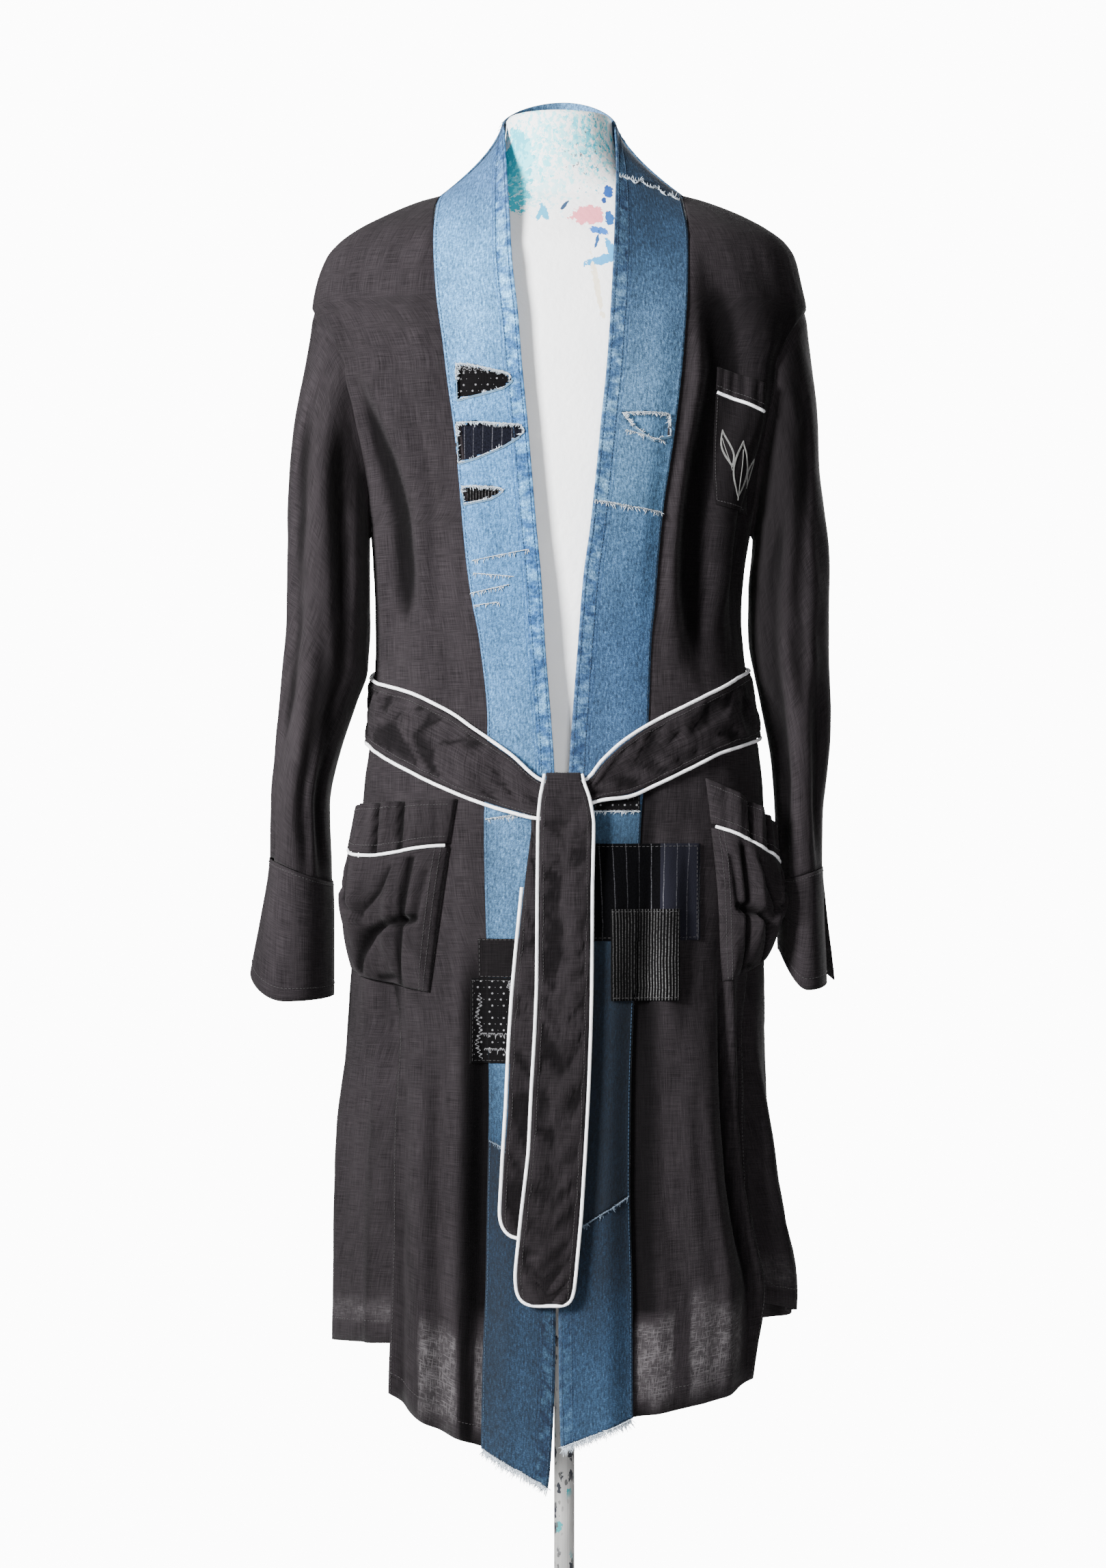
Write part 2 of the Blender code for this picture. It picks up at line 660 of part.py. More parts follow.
def form_sections():
    """Rings of the dress form from the bottom up: height, right, left, front, back, power, shift."""
    sections = [(height, half, half, front, back, 2.15, 0.0) for height, half, front, back in FORM]
    for height in FORM_SHOULDER_ROWS:
        cloth_height = height + FORM_DROP
        sections.append((
            height, ring_right(cloth_height) - FORM_INSET, ring_left(cloth_height) - FORM_INSET,
            ring_front(cloth_height) - 0.008, ring_back(cloth_height) - 0.006, 2.0, 0.0))
    for height, half, front, back in FORM_NECK:
        shift = NECK_SHIFT * ease(height, 1.530, 1.580)
        sections.append((height, half, half, front, back, 2.0, shift))
    return sections


def build_form():
    """The smooth limbless form: a sphere whose rings are moved to the form's sections."""
    sections = form_sections()
    bpy.ops.mesh.primitive_uv_sphere_add(segments=FORM_SIDES, ring_count=len(sections) + 1, radius=1.0)
    body = bpy.context.object
    for vertex in body.data.vertices:
        place = (1.0 - math.acos(max(-1.0, min(1.0, vertex.co.z))) / math.pi) * (len(sections) + 1)
        ring = round(place)
        if ring == 0:
            vertex.co = (0.0, 0.0, FORM_BOTTOM)
            continue
        if ring == len(sections) + 1:
            vertex.co = (NECK_SHIFT, 0.0, FORM_TOP)
            continue
        height, right, left, front, back, power, shift = sections[ring - 1]
        turn = math.atan2(vertex.co.x, -vertex.co.y)
        side, ahead = math.sin(turn), math.cos(turn)
        reach = (abs(side) ** power + abs(ahead) ** power) ** (-1.0 / power)
        half = left if side > 0.0 else right
        depth = front if ahead > 0.0 else back
        vertex.co = (half * side * reach + shift, -depth * ahead * reach, height)
    body.data.shade_smooth()
    finish(body, "form_torso", "form", PARTS)


def build_stand():
    """Pole and round base below the form; the photo's edge hides the base."""
    bpy.ops.mesh.primitive_cylinder_add(
        vertices=24, radius=POLE_RADIUS, depth=FORM_BOTTOM - BOSS_TOP - 2.0 * LAYER_GAP,
        location=(0.0, 0.0, (FORM_BOTTOM + BOSS_TOP) / 2.0))
    pole = bpy.context.object
    pole.data.shade_smooth()
    pole.data.set_sharp_from_angle(angle=math.radians(40.0))
    finish(pole, "stand_pole", "pole", PARTS)
    edge = 0.003
    turned("stand_base", (
        (0.0, BOSS_TOP), (BOSS_RADIUS - edge, BOSS_TOP), (BOSS_RADIUS, BOSS_TOP - edge),
        (BOSS_RADIUS, BASE_THICKNESS + edge), (BOSS_RADIUS + edge, BASE_THICKNESS),
        (BASE_RADIUS - edge, BASE_THICKNESS), (BASE_RADIUS, BASE_THICKNESS - edge),
        (BASE_RADIUS, edge / 2.0), (BASE_RADIUS - edge / 2.0, 0.0), (0.0, 0.0)), "base")


def seam_gap(height):
    """Half the gap at the lapel seam, wider near the shoulder, where the seam runs along the ring."""
    return SEAM_GAP * 0.6 * (1.0 + 3.0 * ease(height, 1.480, 1.515))


def front_point(side, across, down):
    """Point of a front panel; across runs with the angle, so from the vent at the right front."""
    sign = -1.0 if side == "right" else 1.0
    row = row_height(BODY_ROWS, down)
    part = across if side == "left" else 1.0 - across
    height = hem_height(row, blend(HEM[side]["seam"], HEM[side]["outer"], part ** 1.3))
    inner = abs(angle_at(lapel_x(side, height), height))
    outer = side_angle(side, height)
    inner += gap_angle(sign * inner, height, seam_gap(height))
    outer -= gap_angle(sign * outer, height, SEAM_GAP * 0.6)
    return on_robe(sign * blend(inner, outer, part), height)


def back_point(across, down):
    """Point of the back panel, from the left side round the back to the right side."""
    row = row_height(BODY_ROWS, down)
    turn = blend(90.0, 270.0, across)
    past_middle = across > 0.5
    side = "right" if past_middle else "left"
    lowest = blend(HEM["back"]["middle"], HEM["back"][side], abs(2.0 * across - 1.0) ** 1.5)
    height = hem_height(row, lowest)
    towards_middle = math.sin(math.radians(turn - 90.0)) ** 2
    height += NECKLINE_RISE * towards_middle * ease(row, SHOULDER_TIP, BODY_ROWS[0])
    edge = side_angle(side, height)
    if height >= UNDERARM:
        edge = 180.0 - edge if row < SHOULDER_TIP else 90.0
    lap = VENT_LAP * ease(height, VENT_TOP, VENT_TOP - 0.07)
    edge += gap_angle(edge, height, SEAM_GAP * 0.6) - lap
    from_side = 1.0 - abs(2.0 * across - 1.0)
    angle = blend(edge, 180.0, from_side)
    below_vent = ease(height, VENT_TOP + 0.06, VENT_TOP)
    tuck = -VENT_TUCK * below_vent * ease(angle, edge + lap + 9.0, edge + lap + 1.0)
    if past_middle:
        angle = 360.0 - angle
    return on_robe(angle, height, tuck)


ARMHOLE_ROWS = tuple(row for row in BODY_ROWS if UNDERARM <= row <= SHOULDER_TIP)
SLEEVE_AROUND = 2 * (len(ARMHOLE_ROWS) - 1)


def armhole_loop(side):
    """Corner points of the armhole with the turn of each: 0 the tip, 90 front, 180 underarm."""
    sign = -1.0 if side == "right" else 1.0
    loop = []
    for half in ("front", "back"):
        points = []
        for height in ARMHOLE_ROWS:
            angle = armhole_angle(height) if half == "front" else 180.0 - armhole_angle(height)
            points.append(shape_point(sign * angle, height))
        lengths = [0.0]
        for before, after in zip(points, points[1:]):
            lengths.append(lengths[-1] + (after - before).length)
        turns = [180.0 * length / lengths[-1] for length in lengths]
        if half == "front":
            loop += list(zip(turns, points))
        else:
            loop += [(360.0 - turn, point) for turn, point in reversed(list(zip(turns, points)))][1:]
    return loop


def sleeve_ring(side, turn, height, out=0.0):
    """Point of the hanging sleeve: turn 0 is its outer side, 90 its front, 180 its inner side."""
    outer, inner, half_depth, middle = (curve(height) for curve in SLEEVE_CURVES[side])
    sign = -1.0 if side == "right" else 1.0
    wide, deep = math.cos(math.radians(turn)), math.sin(math.radians(turn))
    reach = (abs(wide) ** 2.2 + abs(deep) ** 2.2) ** (-1.0 / 2.2)
    half_width = (outer - inner) / 2.0
    return Vector((
        sign * ((outer + inner) / 2.0 + (half_width * reach + out) * wide),
        middle - (half_depth * reach + out) * deep, height))


SLEEVE_CURVES = {side: column_curves(SLEEVE[side]) for side in SLEEVE}
ARMHOLE_LOOPS = {side: armhole_loop(side) for side in SLEEVE}


def sleeve_point(side, station, down):
    """Point of a sleeve below a corner of its armhole, from the armhole down to the cuff seam."""
    sign = -1.0 if side == "right" else 1.0
    turn, start = ARMHOLE_LOOPS[side][station]
    wide = math.cos(math.radians(turn))
    ends = SLEEVE_SEAM[side]
    lowest = blend(ends[0], ends[1], (1.0 - wide) / 2.0)
    push = SLEEVE_SET_OUT + SLEEVE_UNDERARM_OUT * max(0.0, -wide)
    aside = sign * push * (1.0 - max(0.0, wide) ** 2)
    start = start + Vector((aside, 0.0, -SLEEVE_SET_DOWN * wide * wide))
    length = start.z - lowest
    bent = down * down * (3.0 - 2.0 * down)
    height = start.z - length * blend(blend(down, bent, 0.5), down, wide * wide)
    share = min(1.0, down * length / SLEEVE_BLEND)
    share = 1.0 - (1.0 - share) ** 2
    target = sleeve_ring(side, turn, height)
    return Vector((blend(start.x, target.x, share), blend(start.y, target.y, share), height))


def cuff_point(side, across, down):
    """Point of a cuff, split at its outer side."""
    opening = CUFF_SLIT[side] * down + CUFF_MEET
    turn = blend(opening, 360.0 - opening * CUFF_SLIT_BACK, across)
    wide, deep = math.cos(math.radians(turn)), math.sin(math.radians(turn))
    ends = SLEEVE_SEAM[side]
    top = blend(ends[0], ends[1], (1.0 - wide) / 2.0) - CUFF_UNDER_SLEEVE
    outer, front, inner, back = CUFF_HEM[side]
    sideways, ahead = outer if wide > 0.0 else inner, front if deep > 0.0 else back
    lowest = wide * wide * sideways + deep * deep * ahead
    height = blend(top, lowest, down)
    flare = CUFF_FLARE[side] * down * ease(turn, 290.0, 350.0)
    return sleeve_ring(side, turn, height, flare)


def build_body():
    for side in ("right", "left"):
        def sleeve_place(across, down, side=side):
            station = round((across if side == "right" else 1.0 - across) * SLEEVE_AROUND)
            return sleeve_point(side, station, row_height(SLEEVE_ROWS, down))

        def cuff_place(across, down, side=side):
            return cuff_point(side, across if side == "right" else 1.0 - across, down)

        cloth("front_" + side, 8, len(BODY_ROWS) - 1,
              lambda across, down, side=side: front_point(side, across, down), LINEN_WALL, "linen")
        sleeve_rows = len(SLEEVE_ROWS) - 1
        cloth("sleeve_" + side, SLEEVE_AROUND, sleeve_rows, sleeve_place, LINEN_WALL, "linen", True)
        cloth("cuff_" + side, 18, 3, cuff_place, LINEN_WALL, "linen")
    cloth("back", 18, len(BODY_ROWS) - 1, back_point, LINEN_WALL, "linen")


def hem_slant(side, height):
    """How far the free edge of a band lies below its seam, growing to the hem."""
    drop = HEM[side]["seam"] - HEM[side]["edge"]
    return drop * ease(height, 0.72, HEM[side]["seam"])


def band_point(side, seam_height, part, out=BAND_OUT):
    """Point of a lapel band: part 0 is its seam, 1 its free edge."""
    sign = -1.0 if side == "right" else 1.0
    lift = rise_height(seam_height) - seam_height if seam_height > BAND_RISE[0][0] else 0.0
    drop = hem_slant(side, seam_height) if seam_height < HEM_TILT_TOP + 0.1 else 0.0
    height = seam_height + (lift - drop) * part
    seam_angle = angle_at(lapel_x(side, seam_height), seam_height)
    seam_angle -= sign * gap_angle(seam_angle, seam_height, seam_gap(seam_height))
    low = min(height, rise_height(min(seam_height, SHOULDER_POINT)))
    edge_angle = angle_at(edge_x(side, low), min(low, 1.50))
    flat_height = min(height, 1.50)
    on_chest = shape_point(blend(seam_angle, edge_angle, part), flat_height)
    on_chest += shape_normal(blend(seam_angle, edge_angle, part), flat_height) * out
    free = ease(seam_height, 1.385, 1.45)
    if free <= 0.0:
        return on_chest
    seam = shape_point(seam_angle, seam_height) + shape_normal(seam_angle, seam_height) * out
    edge_height = seam_height + lift
    edge = Vector((edge_x(side, edge_height), rise_depth(seam_height), edge_height))
    middle = (seam + edge) / 2.0
    middle += Vector((-sign * rise_bow(seam_height), 0.0, rise_lift(seam_height)))
    curved = seam * (1.0 - part) ** 2 + middle * 2.0 * part * (1.0 - part) + edge * part ** 2
    return on_chest.lerp(curved, free)


def neck_band_point(across, up):
    """Point of the band behind the neck, from the left shoulder round to the right one."""
    turn = blend(91.0, 269.0, across)
    sweep = math.radians(turn - 90.0)
    height = BODY_ROWS[0] + NECKLINE_RISE * math.sin(sweep) ** 2
    climb = (shape_point(turn, height + MM) - shape_point(turn, height)).length / MM
    seam = on_robe(turn, height + 0.8 * MM / climb, BAND_OUT)
    swing = math.cos(sweep)
    edge_at_side = 0.0478 if swing > 0.0 else 0.0580
    edge = Vector((
        edge_at_side * swing, blend(-0.0115, 0.0630, math.sin(sweep)),
        blend(1.5975, COLLAR_TOP, math.sin(sweep) ** 1.2)))
    middle = (seam + edge) / 2.0
    bow = abs(swing) ** 1.5
    middle += Vector((-0.025 * bow * math.copysign(1.0, swing), 0.0, 0.006 * bow))
    return seam * (1.0 - up) ** 2 + middle * 2.0 * up * (1.0 - up) + edge * up ** 2


def band_rows(top, bottom):
    """Rows of a band piece: its two ends and the shared rows between them."""
    inside = [height for height in BODY_ROWS if bottom + 0.008 < height < top - 0.004]
    return [top] + inside + [bottom]


def build_bands():
    pieces = (
        ("band_right_chest", "right", 1.5280, 0.9425, "denim"),
        ("band_right_skirt", "right", 0.9415, 0.6445, "denim"),
        ("band_right_hem", "right", 0.6435, HEM["right"]["seam"], "denim_dark"),
        ("band_left_chest", "left", 1.5280, 1.2205, "denim"),
        ("band_left_waist", "left", 1.2195, 0.9525, "denim"),
        ("band_left_skirt", "left", 0.9515, 0.5945, "denim_dark"),
        ("band_left_hem", "left", 0.5935, HEM["left"]["seam"], "denim"),
    )
    for name, side, top, bottom, look in pieces:
        rows = band_rows(top, bottom)

        def place(across, down, side=side, rows=rows):
            part = across if side == "right" else 1.0 - across
            return band_point(side, row_height(rows, down), part)

        cloth(name, 4, len(rows) - 1, place, DENIM_WALL, look)
    cloth("band_neck", 18, 3, lambda across, down: neck_band_point(across, 1.0 - down), DENIM_WALL, "denim")


def cut_rips():
    """Cut the rips through the bands and set the patch that shows behind each one."""
    for name, (band_name, look, outline) in RIPS.items():
        data = bpy.data.curves.new(name + "_cutter", "CURVE")
        data.dimensions = "2D"
        data.fill_mode = "BOTH"
        data.extrude = 0.03
        spline = data.splines.new("POLY")
        spline.points.add(len(outline) - 1)
        for item, (x, height) in zip(spline.points, outline):
            item.co = (x, height, 0.0, 1.0)
        spline.use_cyclic_u = True
        drawn = bpy.data.objects.new(name + "_drawn", data)
        bpy.context.scene.collection.objects.link(drawn)
        drawn.rotation_euler = (math.radians(90.0), 0.0, 0.0)
        drawn.location = (0.0, -0.115, 0.0)
        bpy.context.view_layer.update()
        solid = drawn.evaluated_get(bpy.context.evaluated_depsgraph_get())
        mesh = bpy.data.meshes.new_from_object(solid)
        cutter = bpy.data.objects.new(name + "_cutter", mesh)
        cutter.matrix_world = drawn.matrix_world
        bpy.data.objects.remove(drawn)
        weld = bmesh.new()
        weld.from_mesh(mesh)
        bmesh.ops.remove_doubles(weld, verts=weld.verts, dist=1e-6)
        bmesh.ops.recalc_face_normals(weld, faces=weld.faces)
        weld.to_mesh(mesh)
        weld.free()
        CUTTERS.objects.link(cutter)
        cutter.hide_render = True
        cutter.display_type = "WIRE"
        cut = bpy.data.objects[band_name].modifiers.new(name, "BOOLEAN")
        cut.operation = "DIFFERENCE"
        cut.solver = "EXACT"
        cut.object = cutter

        left = min(x for x, _ in outline) - RIP_PATCH_MARGIN * 0.3
        right = max(x for x, _ in outline) + RIP_PATCH_MARGIN
        low = min(height for _, height in outline) - RIP_PATCH_MARGIN
        high = max(height for _, height in outline) + RIP_PATCH_MARGIN
        behind = -(DENIM_WALL / 2.0 - BAND_OUT + 2.5 * LAYER_GAP + PATCH_WALL / 2.0)

        def place(across, down, left=left, right=right, low=low, high=high, behind=behind):
            height = blend(high, low, down)
            angle = angle_at(blend(left, right, across), height)
            return shape_point(angle, height) + shape_normal(angle, height) * behind

        cloth(name + "_patch", 4, 3, place, PATCH_WALL, look)


def build_patches():
    """Patches on the outside of the bands and fronts."""
    first = BAND_OUT + DENIM_WALL / 2.0 + LAYER_GAP + PATCH_WALL / 2.0
    for name, reach, heights, layer, look in PATCHES:
        out_on_band = first + (layer - 1) * (PATCH_WALL + LAYER_GAP)

        def place(across, down, reach=reach, heights=heights, out=out_on_band):
            x = blend(reach[0], reach[1], across)
            height = blend(heights[0], heights[1], down)
            return on_robe(angle_at(x, height), height, out)

        cloth(name, 6, 3, place, PATCH_WALL, look)


def hump(part):
    """0 at both ends and 1 half way, rising fast."""
    return max(0.0, math.sin(math.pi * min(1.0, part))) ** 0.65


def pocket_place(side, part, upper, lower, down, out):
    """Point of a hip pocket between two slanted lines; part runs from its inner to its outer edge."""
    sign = -1.0 if side == "right" else 1.0
    data = HIP_POCKET[side]
    height = blend(blend(upper[0], upper[1], part), blend(lower[0], lower[1], part), down)
    share = (data["top"][0] - height) / (data["top"][0] - data["bottom"][0])
    inner = blend(data["inner"][0], data["inner"][1], share)
    outer = blend(data["outer"][0], data["outer"][1], share)
    return on_robe(sign * blend(inner, outer, part), height, out)


def pocket_seam(band, bag, columns):
    """Middle line of the slot between a pocket's band and its bag, for the piping."""
    line = []
    for index in range(columns + 1):
        across = min(0.98, max(0.02, index / columns))
        line.append((band(across, 1.0) + bag(across, 0.0)) / 2.0 + Vector((0.0, -0.5 * MM, 0.0)))
    return line


def build_hip_pockets():
    """Each hip pocket: a sagging bag, a gathered top band and the piping between them."""
    lowest = LINEN_WALL + 2.5 * LAYER_GAP
    for side in ("right", "left"):
        data = HIP_POCKET[side]

        def bag(across, down, side=side, data=data):
            part = 1.0 - across if side == "right" else across
            swell = data["bulge"] * hump(part) * hump(0.28 + 0.72 * down)
            sag = -data["dip"] * math.sin(math.pi * part) ** 2 * (1.0 - down)
            point = pocket_place(side, part, data["piping"], data["bottom"], down, lowest + swell)
            point.z += sag
            return point

        def band(across, down, side=side, data=data):
            part = 1.0 - across if side == "right" else across
            open_out = blend(data["mouth"], data["bulge"] * hump(0.28), down)
            open_out += 0.0016 * math.sin(5.0 * math.pi * part) * (1.0 - 0.4 * down)
            sag = -data["dip"] * math.sin(math.pi * part) ** 2 * down
            out = lowest + open_out * hump(part)
            point = pocket_place(side, part, data["top"], data["piping"], down, out)
            point.z += sag + PIPING_SLOT * down
            return point

        cloth("hip_pocket_" + side, 12, 9, bag, LINEN_WALL, "linen")
        cloth("hip_pocket_band_" + side, 12, 3, band, LINEN_WALL, "linen")
        line = pocket_seam(band, bag, 12)
        tube("hip_pocket_piping_" + side, line, POCKET_PIPING_RADIUS, "piping")


def build_chest_pocket():
    """Flat patch pocket on the wearer's left chest, with a piped top band."""
    data = CHEST_POCKET
    lowest = LINEN_WALL + 4.0 * LAYER_GAP

    def place(across, top, bottom, down, swell):
        height = blend(blend(top[0], top[1], across), blend(bottom[0], bottom[1], across), down)
        share = (data["top"][0] - height) / (data["top"][0] - data["bottom"][0])
        inner = blend(data["inner"][0], data["inner"][1], share)
        outer = blend(data["outer"][0], data["outer"][1], share)
        return on_robe(angle_at(blend(inner, outer, across), height), height, lowest + swell)

    def bag(across, down):
        swell = 0.0022 * hump(across) * hump(0.3 + 0.7 * down)
        point = place(across, data["piping"], data["bottom"], down, swell)
        return point

    def band(across, down):
        point = place(across, data["top"], data["piping"], down, 0.0030 * hump(across))
        point.z += PIPING_SLOT * down
        return point

    cloth("chest_pocket", 6, 6, bag, LINEN_WALL, "linen")
    cloth("chest_pocket_band", 6, 2, band, LINEN_WALL, "linen")
    tube("chest_pocket_piping", pocket_seam(band, bag, 6), POCKET_PIPING_RADIUS, "piping")


def belt_out(angle):
    """How far the belt's middle lies outside the robe, more under the knot."""
    over_band = BAND_OUT + DENIM_WALL / 2.0 + 3.0 * LAYER_GAP + PIPING_RADIUS
    return over_band + KNOT_ROOM * (1.0 - ease(abs(angle), KNOT_REACH[0], KNOT_REACH[1]))


def belt_point(angle, share, out=0.0):
    """Point of the belt: share 0 is its top edge, 1 its bottom edge, past them is beyond."""
    height = blend(belt_top(angle), belt_bottom(angle), share)
    return on_robe(angle, height, belt_out(angle) + out)


def belt_edge(angle, share):
    """Point beside the belt's edge for its piping."""
    edge = belt_bottom if share else belt_top
    step = 1.5
    run = (shape_point(angle + step, edge(angle)) - shape_point(angle - step, edge(angle))).length
    slope = (edge(angle + step) - edge(angle - step)) / run
    width = belt_top(angle) - belt_bottom(angle)
    beyond = (PIPING_RADIUS + 2.0 * LAYER_GAP) * math.sqrt(1.0 + slope * slope) / width
    return belt_point(angle, 1.0 + beyond if share else -beyond)


def tail_path(front):
    """Path of a tail from its hidden top to its lower end: out from the robe, height, width row."""
    if not front:
        near, off = TAIL_REAR_OUT
        return [(blend(near, off, ease(row, 0.93, 0.88)), row, row) for row in TAIL_REAR_ROWS]
    inner, outer = FOLD_OUT
    radius = (outer - inner) / 2.0
    path = [(inner, FOLD_BACK_END, FOLD_CENTRE), (inner, (FOLD_BACK_END + FOLD_CENTRE) / 2.0, FOLD_CENTRE)]
    for step in range(7):
        turn = math.pi * step / 6.0
        path.append((
            inner + radius * (1.0 - math.cos(turn)), FOLD_CENTRE + radius * math.sin(turn), FOLD_CENTRE))
    for row in TAIL_FRONT_ROWS:
        path.append((blend(outer, TAIL_FRONT_OUT, ease(row, 0.945, 0.87)), row, row))
    return path


def tail_point(edges, spot, across):
    """Point of a tail at a spot of its path; the edges give X at a height."""
    out, height, width_row = spot
    x = blend(edges[0](width_row), edges[1](width_row), across)
    return shape_point(angle_at(x, height), height) + Vector((0.0, -out, 0.0))


def beside(line, distance):
    """A line moved sideways in the plane that faces the front, to its left as seen walking along it."""
    moved = []
    for index, point in enumerate(line):
        before = line[max(0, index - 1)]
        after = line[min(len(line) - 1, index + 1)]
        along = (after - before).normalized()
        moved.append(point + Vector((along.z, 0.0, -along.x)) * distance)
    return moved


def build_belt():
    """Waist belt, the front tail folded over it, the rear tail behind, and their piping."""
    def waist(across, down):
        return belt_point(blend(-180.0, 180.0, across), down)

    cloth("belt_waist", BELT_COLUMNS, 2, waist, BELT_WALL, "linen", True)
    for name, share in (("belt_piping_top", 0), ("belt_piping_bottom", 1)):
        turns = [blend(-180.0, 180.0, index / BELT_COLUMNS) for index in range(BELT_COLUMNS)]
        line = [belt_edge(turn, share) for turn in turns]
        tube(name, line, PIPING_RADIUS, "piping", True)
    columns = 4
    for name, table, front in (("belt_tail_front", TAIL_FRONT, True), ("belt_tail_rear", TAIL_REAR, False)):
        path = tail_path(front)
        edges = column_curves(table)

        def place(across, down, path=path, edges=edges):
            return tail_point(edges, path[round(down * (len(path) - 1))], across)

        cloth(name, columns, len(path) - 1, place, BELT_WALL, "linen")
        first = 9 if front else 3
        left_side = [tail_point(edges, spot, 0.0) for spot in path[first:]]
        foot = [tail_point(edges, path[-1], column / columns) for column in range(1, columns)]
        right_side = [tail_point(edges, spot, 1.0) for spot in reversed(path[first:])]
        line = beside(left_side + foot + right_side, PIPING_RADIUS + LAYER_GAP)
        tube(name + "_piping", line, PIPING_RADIUS, "piping")


def clear_scene():
    for item in list(bpy.data.objects):
        bpy.data.objects.remove(item)


def new_collection(name):
    collection = bpy.data.collections.new(name)
    bpy.context.scene.collection.children.link(collection)
    return collection


clear_scene()
PARTS = new_collection("robe_on_dress_form")
CUTTERS = new_collection("cutters")
build_form()
build_stand()
build_body()
build_bands()
cut_rips()
build_patches()
build_hip_pockets()
build_chest_pocket()
build_belt()
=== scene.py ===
"""A linen robe with pieced denim lapel bands on a limbless dress form.

Metres, +Z up, the robe faces -Y. The robe is drawn as level rings: a point of its shape is
given by an angle from the front centre (+90 degrees is +X) and a height. The solids of the
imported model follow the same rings, and every panel here replaces its solid.
"""
import bisect
import functools
import itertools
import math
import random
from functools import partial

import bmesh
import bpy
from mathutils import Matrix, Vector, noise


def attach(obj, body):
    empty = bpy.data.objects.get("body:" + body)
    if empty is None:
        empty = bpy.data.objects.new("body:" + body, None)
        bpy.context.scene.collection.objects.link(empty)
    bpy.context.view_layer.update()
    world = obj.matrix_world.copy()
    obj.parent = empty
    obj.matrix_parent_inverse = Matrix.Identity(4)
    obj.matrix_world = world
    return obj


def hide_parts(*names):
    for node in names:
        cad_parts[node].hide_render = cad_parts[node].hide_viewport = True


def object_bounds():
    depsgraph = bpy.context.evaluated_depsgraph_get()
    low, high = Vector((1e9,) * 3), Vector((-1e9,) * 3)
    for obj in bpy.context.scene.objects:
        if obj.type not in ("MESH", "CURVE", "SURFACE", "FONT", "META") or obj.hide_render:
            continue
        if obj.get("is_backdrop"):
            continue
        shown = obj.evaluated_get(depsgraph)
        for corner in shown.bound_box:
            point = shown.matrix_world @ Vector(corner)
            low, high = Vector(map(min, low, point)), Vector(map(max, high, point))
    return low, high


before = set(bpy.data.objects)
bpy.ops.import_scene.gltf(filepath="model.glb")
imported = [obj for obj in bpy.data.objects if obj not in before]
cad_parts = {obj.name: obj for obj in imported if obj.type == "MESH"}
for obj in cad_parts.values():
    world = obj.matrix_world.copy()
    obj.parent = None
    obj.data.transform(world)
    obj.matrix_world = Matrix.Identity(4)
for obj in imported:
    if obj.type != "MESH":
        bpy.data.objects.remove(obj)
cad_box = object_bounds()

MM = 0.001

# Walls, gaps and tubes
LINEN_WALL = 1.2 * MM
DENIM_WALL = 2.0 * MM
PATCH_WALL = 1.0 * MM
PIPING_RADIUS = 1.9 * MM
POCKET_PIPING_RADIUS = 1.6 * MM
PIPING_SLOT = 4.2 * MM
SEAM_GAP = 0.5 * MM
LAYER_GAP = 0.3 * MM
BAND_OUT = 0.25 * MM

# Heights on the robe
SHOULDER_POINT = 1.529
SHOULDER_TIP = 1.423
UNDERARM = 1.212
VENT_TOP = 0.8
VENT_TUCK = 0.0045
HEM_TILT_TOP = 0.66
NECKLINE_RISE = 0.023
COLLAR_TOP = 1.632

# The dress form's ends
FORM_BOTTOM = 0.838
FORM_TOP = 1.604
NECK_SHIFT = -0.005

# The robe's rings, from hem to neck
# height, half width at wearer's right, at wearer's left, front depth, back depth, squareness
RINGS = (
    (0.33, 0.212, 0.207, 0.136, 0.138, 2.2), (0.42, 0.2145, 0.2125, 0.133, 0.137, 2.2),
    (0.5, 0.2142, 0.2165, 0.13, 0.136, 2.2), (0.56, 0.2135, 0.2055, 0.128, 0.134, 2.2),
    (0.61, 0.2126, 0.1965, 0.127, 0.132, 2.2), (0.68, 0.2095, 0.1915, 0.1255, 0.13, 2.2),
    (0.74, 0.205, 0.1895, 0.1235, 0.127, 2.2), (0.82, 0.2, 0.189, 0.12, 0.123, 2.2),
    (0.9, 0.195, 0.1895, 0.1165, 0.118, 2.2), (0.97, 0.189, 0.188, 0.1125, 0.111, 2.2),
    (1.03, 0.182, 0.18, 0.111, 0.107, 2.2), (1.08, 0.179, 0.1715, 0.1125, 0.108, 2.2),
    (1.13, 0.1785, 0.1675, 0.116, 0.112, 2.2), (1.17, 0.18, 0.17, 0.118, 0.115, 2.2),
    (1.212, 0.183, 0.177, 0.12, 0.118, 2.2), (1.23, 0.1865, 0.1815, 0.1205, 0.119, 2.2),
    (1.27, 0.199, 0.194, 0.121, 0.12, 2.2), (1.32, 0.2235, 0.217, 0.1205, 0.12, 2.15),
    (1.357, 0.24, 0.231, 0.119, 0.119, 2.1), (1.4, 0.2405, 0.2315, 0.1155, 0.117, 2.05),
    (1.423, 0.2385, 0.2295, 0.112, 0.115, 2), (1.447, 0.234, 0.2245, 0.1065, 0.1115, 2),
    (1.47, 0.2256, 0.2191, 0.0985, 0.1055, 2), (1.484, 0.214, 0.21, 0.092, 0.1005, 2),
    (1.496, 0.1976, 0.1944, 0.085, 0.095, 2), (1.51, 0.17, 0.168, 0.076, 0.088, 2),
    (1.522, 0.1405, 0.136, 0.068, 0.08, 2), (1.529, 0.1135, 0.109, 0.064, 0.077, 2),
    (1.54, 0.086, 0.085, 0.06, 0.073, 2), (1.552, 0.07, 0.07, 0.0575, 0.0705, 2),
    (1.57, 0.062, 0.062, 0.055, 0.068, 2),
)

